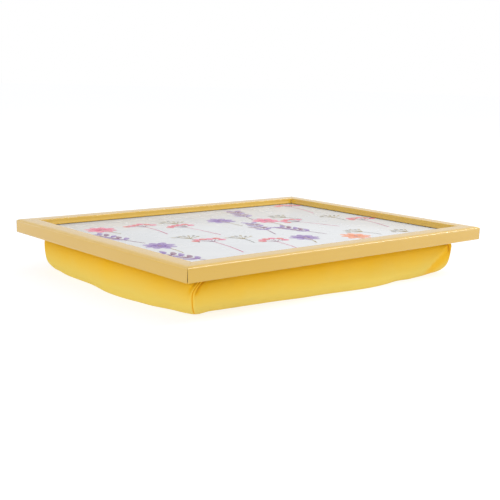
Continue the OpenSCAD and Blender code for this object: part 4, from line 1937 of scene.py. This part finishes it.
    def pull(self) -> Obj:
        """Models the pull: an eye, a neck, and a grip with a dished face and a hole.

        Returns:
            The pull, as one object.
        """
        low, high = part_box("zip_pull")
        y, eye = self.pin_y, (high.y - low.y) / 2
        x = low.x + eye
        back, front = y - self.pull_h / 2, y + self.pull_h / 2
        below, above = self.z - self.neck_w / 2, self.z + self.neck_w / 2
        grip_x, hole_x = x + eye + self.neck_w, high.x - self.hole_in
        body = Bench.rod("pull", (x, y, below), (x, y, above), eye, 40)
        Bench.cut(body, Bench.block("neck", (x, back, below),
                                    (grip_x + self.neck_lap, front, above)), "UNION")
        grip = Bench.block("grip", (grip_x, back, low.z), (high.x, front, high.z))
        self.round_ends(grip, (high.x, self.grip_r, 8), (grip_x, self.shoulder_r, 3))
        Bench.cut(body, grip, "UNION")
        out, deep = self.hole_l / 2, self.bore_l / 2
        tools = [Bench.rod("hole", (hole_x, y - out, self.z), (hole_x, y + out, self.z),
                           self.hole_r),
                 Bench.rod("bore", (x, y, self.z - deep), (x, y, self.z + deep),
                           self.pin_r + self.bore_play, 24)]
        for side in (-1, 1):
            tools.append(Bench.block(
                "dish", (grip_x + self.dish_in[0], y + side * (self.pull_h / 2 - self.dish_h),
                         self.z - self.dish_w / 2),
                (high.x - self.dish_in[1], y + side * out, self.z + self.dish_w / 2)))
        # Turned inside out, the back's tool takes nothing away and only marks the plain face.
        tools[2].data.flip_normals()
        for tool in tools:
            Bench.cut(body, tool)
        return Bench.shade(Bench.soften(body, self.pull_round, angle=40), 40)

    def build(self) -> None:
        """Makes the zip's pieces and dresses the stops."""
        for model, name, body, finish, node in (
                (self.tapes, "zip_tapes_woven", Body.CUSHION, TAPE_CLOTH, "zip_tapes"),
                (self.teeth, "zip_teeth_moulded", Body.CUSHION, TOOTH_PLASTIC, "zip_teeth"),
                (self.slider, "zip_slider_cast", Body.SLIDER, BRASS, "zip_slider"),
                (self.pull, "zip_pull_cast", Body.PULL, BRASS, "zip_pull")):
            place_piece(name, model(), body, finish, node)
        BRASS.lay_on_node("zip_stops")


@dataclass
class Studio:
    """The camera at the photograph's viewpoint, soft lamps and a white sweep.

    A lamp has its name, its place, the length of its sides, its power in watts, and a strip's
    width or 0 for a square.
    """

    eye: tuple = (-0.70095, -0.80031, 0.22346)
    yaw: float = 41.10
    pitch: float = 10.55
    roll: float = 1.63
    focal_px: float = 910.0
    picture_px: float = 500.0
    sensor: float = 36.0
    clip: Point = (0.01, 60.0)
    lamps: tuple = (("key", (1.45, -0.75, 1.4), 1.9, 24, 0.5),
                    ("fill", (-1.8, -0.9, 1.1), 1.8, 12, 0.0),
                    ("overhead", (0.1, 0.4, 2.0), 2.0, 3, 0.0))
    aim: tuple = (0, 0, 0.04)
    ambient: float = 0.72
    mirrored: float = 0.8
    white: tuple = (1, 1, 1, 1)
    floor_size: float = 40.0
    floor_z: float = -0.1 * MM
    floor_colour: tuple = (0.79, 0.80, 0.84, 1)
    floor_share: float = 0.55
    floor_light: float = 0.38
    floor_glow: float = 1.34

    def camera(self) -> None:
        """Sets up the camera."""
        yaw, pitch, roll = (math.radians(v) for v in (self.yaw, self.pitch, self.roll))
        ahead = Vector((math.sin(yaw) * math.cos(pitch), math.cos(yaw) * math.cos(pitch),
                        -math.sin(pitch)))
        right = Vector((math.cos(yaw), -math.sin(yaw), 0))
        up = right.cross(ahead)
        tilted = right * math.cos(roll) + up * math.sin(roll)
        crown = up * math.cos(roll) - right * math.sin(roll)
        data = bpy.data.cameras.new("view")
        data.sensor_width = self.sensor
        data.lens = self.focal_px / self.picture_px * self.sensor
        data.clip_start, data.clip_end = self.clip
        camera = bpy.data.objects.new("view", data)
        turn = Matrix((tilted, crown, -ahead)).transposed().to_4x4()
        camera.matrix_world = Matrix.Translation(self.eye) @ turn
        bpy.context.scene.collection.objects.link(camera)
        bpy.context.scene.camera = camera

    def lamp(self, name: str, at: Place, size: float, watts: float, depth: float) -> None:
        """Hangs a soft lamp: a square that faces the tray, or a strip along X.

        Args:
            name: The lamp's name.
            at: Its place.
            size: The length of its sides.
            watts: Its power.
            depth: A strip's width, or 0 for a square.
        """
        data = bpy.data.lights.new(name, "AREA")
        data.size, data.energy = size, watts
        lamp = bpy.data.objects.new(name, data)
        lamp.location = at
        if depth:
            data.shape, data.size_y = "RECTANGLE", depth
            lamp.rotation_euler.x = math.atan2(-at[1], at[2])
        else:
            lamp.rotation_euler = (Vector(self.aim) - Vector(at)).to_track_quat(
                "-Z", "Y").to_euler()
        bpy.context.scene.collection.objects.link(lamp)

    @staticmethod
    def seen(graph: Graph) -> Socket:
        """A mask of the rays that look at the background: camera, glossy and transmission."""
        path = graph.add("LightPath").outputs
        either = graph.math("MAXIMUM", path["Is Camera Ray"], path["Is Glossy Ray"])
        return graph.math("MAXIMUM", either, path["Is Transmission Ray"])

    def room(self) -> None:
        """Makes the white surroundings."""
        world = bpy.context.scene.world = bpy.data.worlds.new("white_room")
        world.use_nodes = True
        graph = Graph(world.node_tree)
        strength = graph.spread(self.seen(graph), 0, 1, self.ambient, 1.0)
        glossy = graph.add("LightPath").outputs["Is Glossy Ray"]
        strength = graph.spread(glossy, 0, 1, strength, self.mirrored)
        back = graph.add("Background", {"Color": self.white, "Strength": strength})
        graph.add("OutputWorld", {"Surface": back.outputs[0]})

    def floor(self) -> None:
        """Lays the white floor that keeps the tray's shadow; it glows, and so also lights the tray
        from below.
        """
        Bench.clear()
        bpy.ops.mesh.primitive_plane_add(size=self.floor_size, location=(0, 0, self.floor_z))
        floor = Bench.settle(bpy.context.object)
        floor.name = "floor"
        material = bpy.data.materials.new("floor")
        material.use_nodes = True
        graph = Graph(material.node_tree)
        plain = graph.add("BsdfDiffuse", {"Color": self.floor_colour})
        glow = graph.add("Emission", {"Color": self.white, "Strength": self.floor_glow})
        share = graph.spread(self.seen(graph), 0, 1, self.floor_light, self.floor_share)
        mixed = graph.add("MixShader", {0: share, 1: plain.outputs[0], 2: glow.outputs[0]})
        graph.add("OutputMaterial", {"Surface": mixed.outputs[0]})
        floor.data.materials.append(material)

    def build(self) -> None:
        """Sets the camera, the lamps and the backdrop."""
        self.camera()
        for lamp in self.lamps:
            self.lamp(*lamp)
        self.room()
        self.floor()
        bpy.context.scene.view_settings.view_transform = "Standard"


def main() -> None:
    """Builds the lap tray, piece by piece."""
    logging.basicConfig(level=logging.INFO, format="%(name)s: %(message)s")
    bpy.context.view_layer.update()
    for part in (Studio, TrayFrame, PrintedPanel, Cushion, HookAndLoop, Zip):
        part().build()


if __name__ == "__main__":
    main()
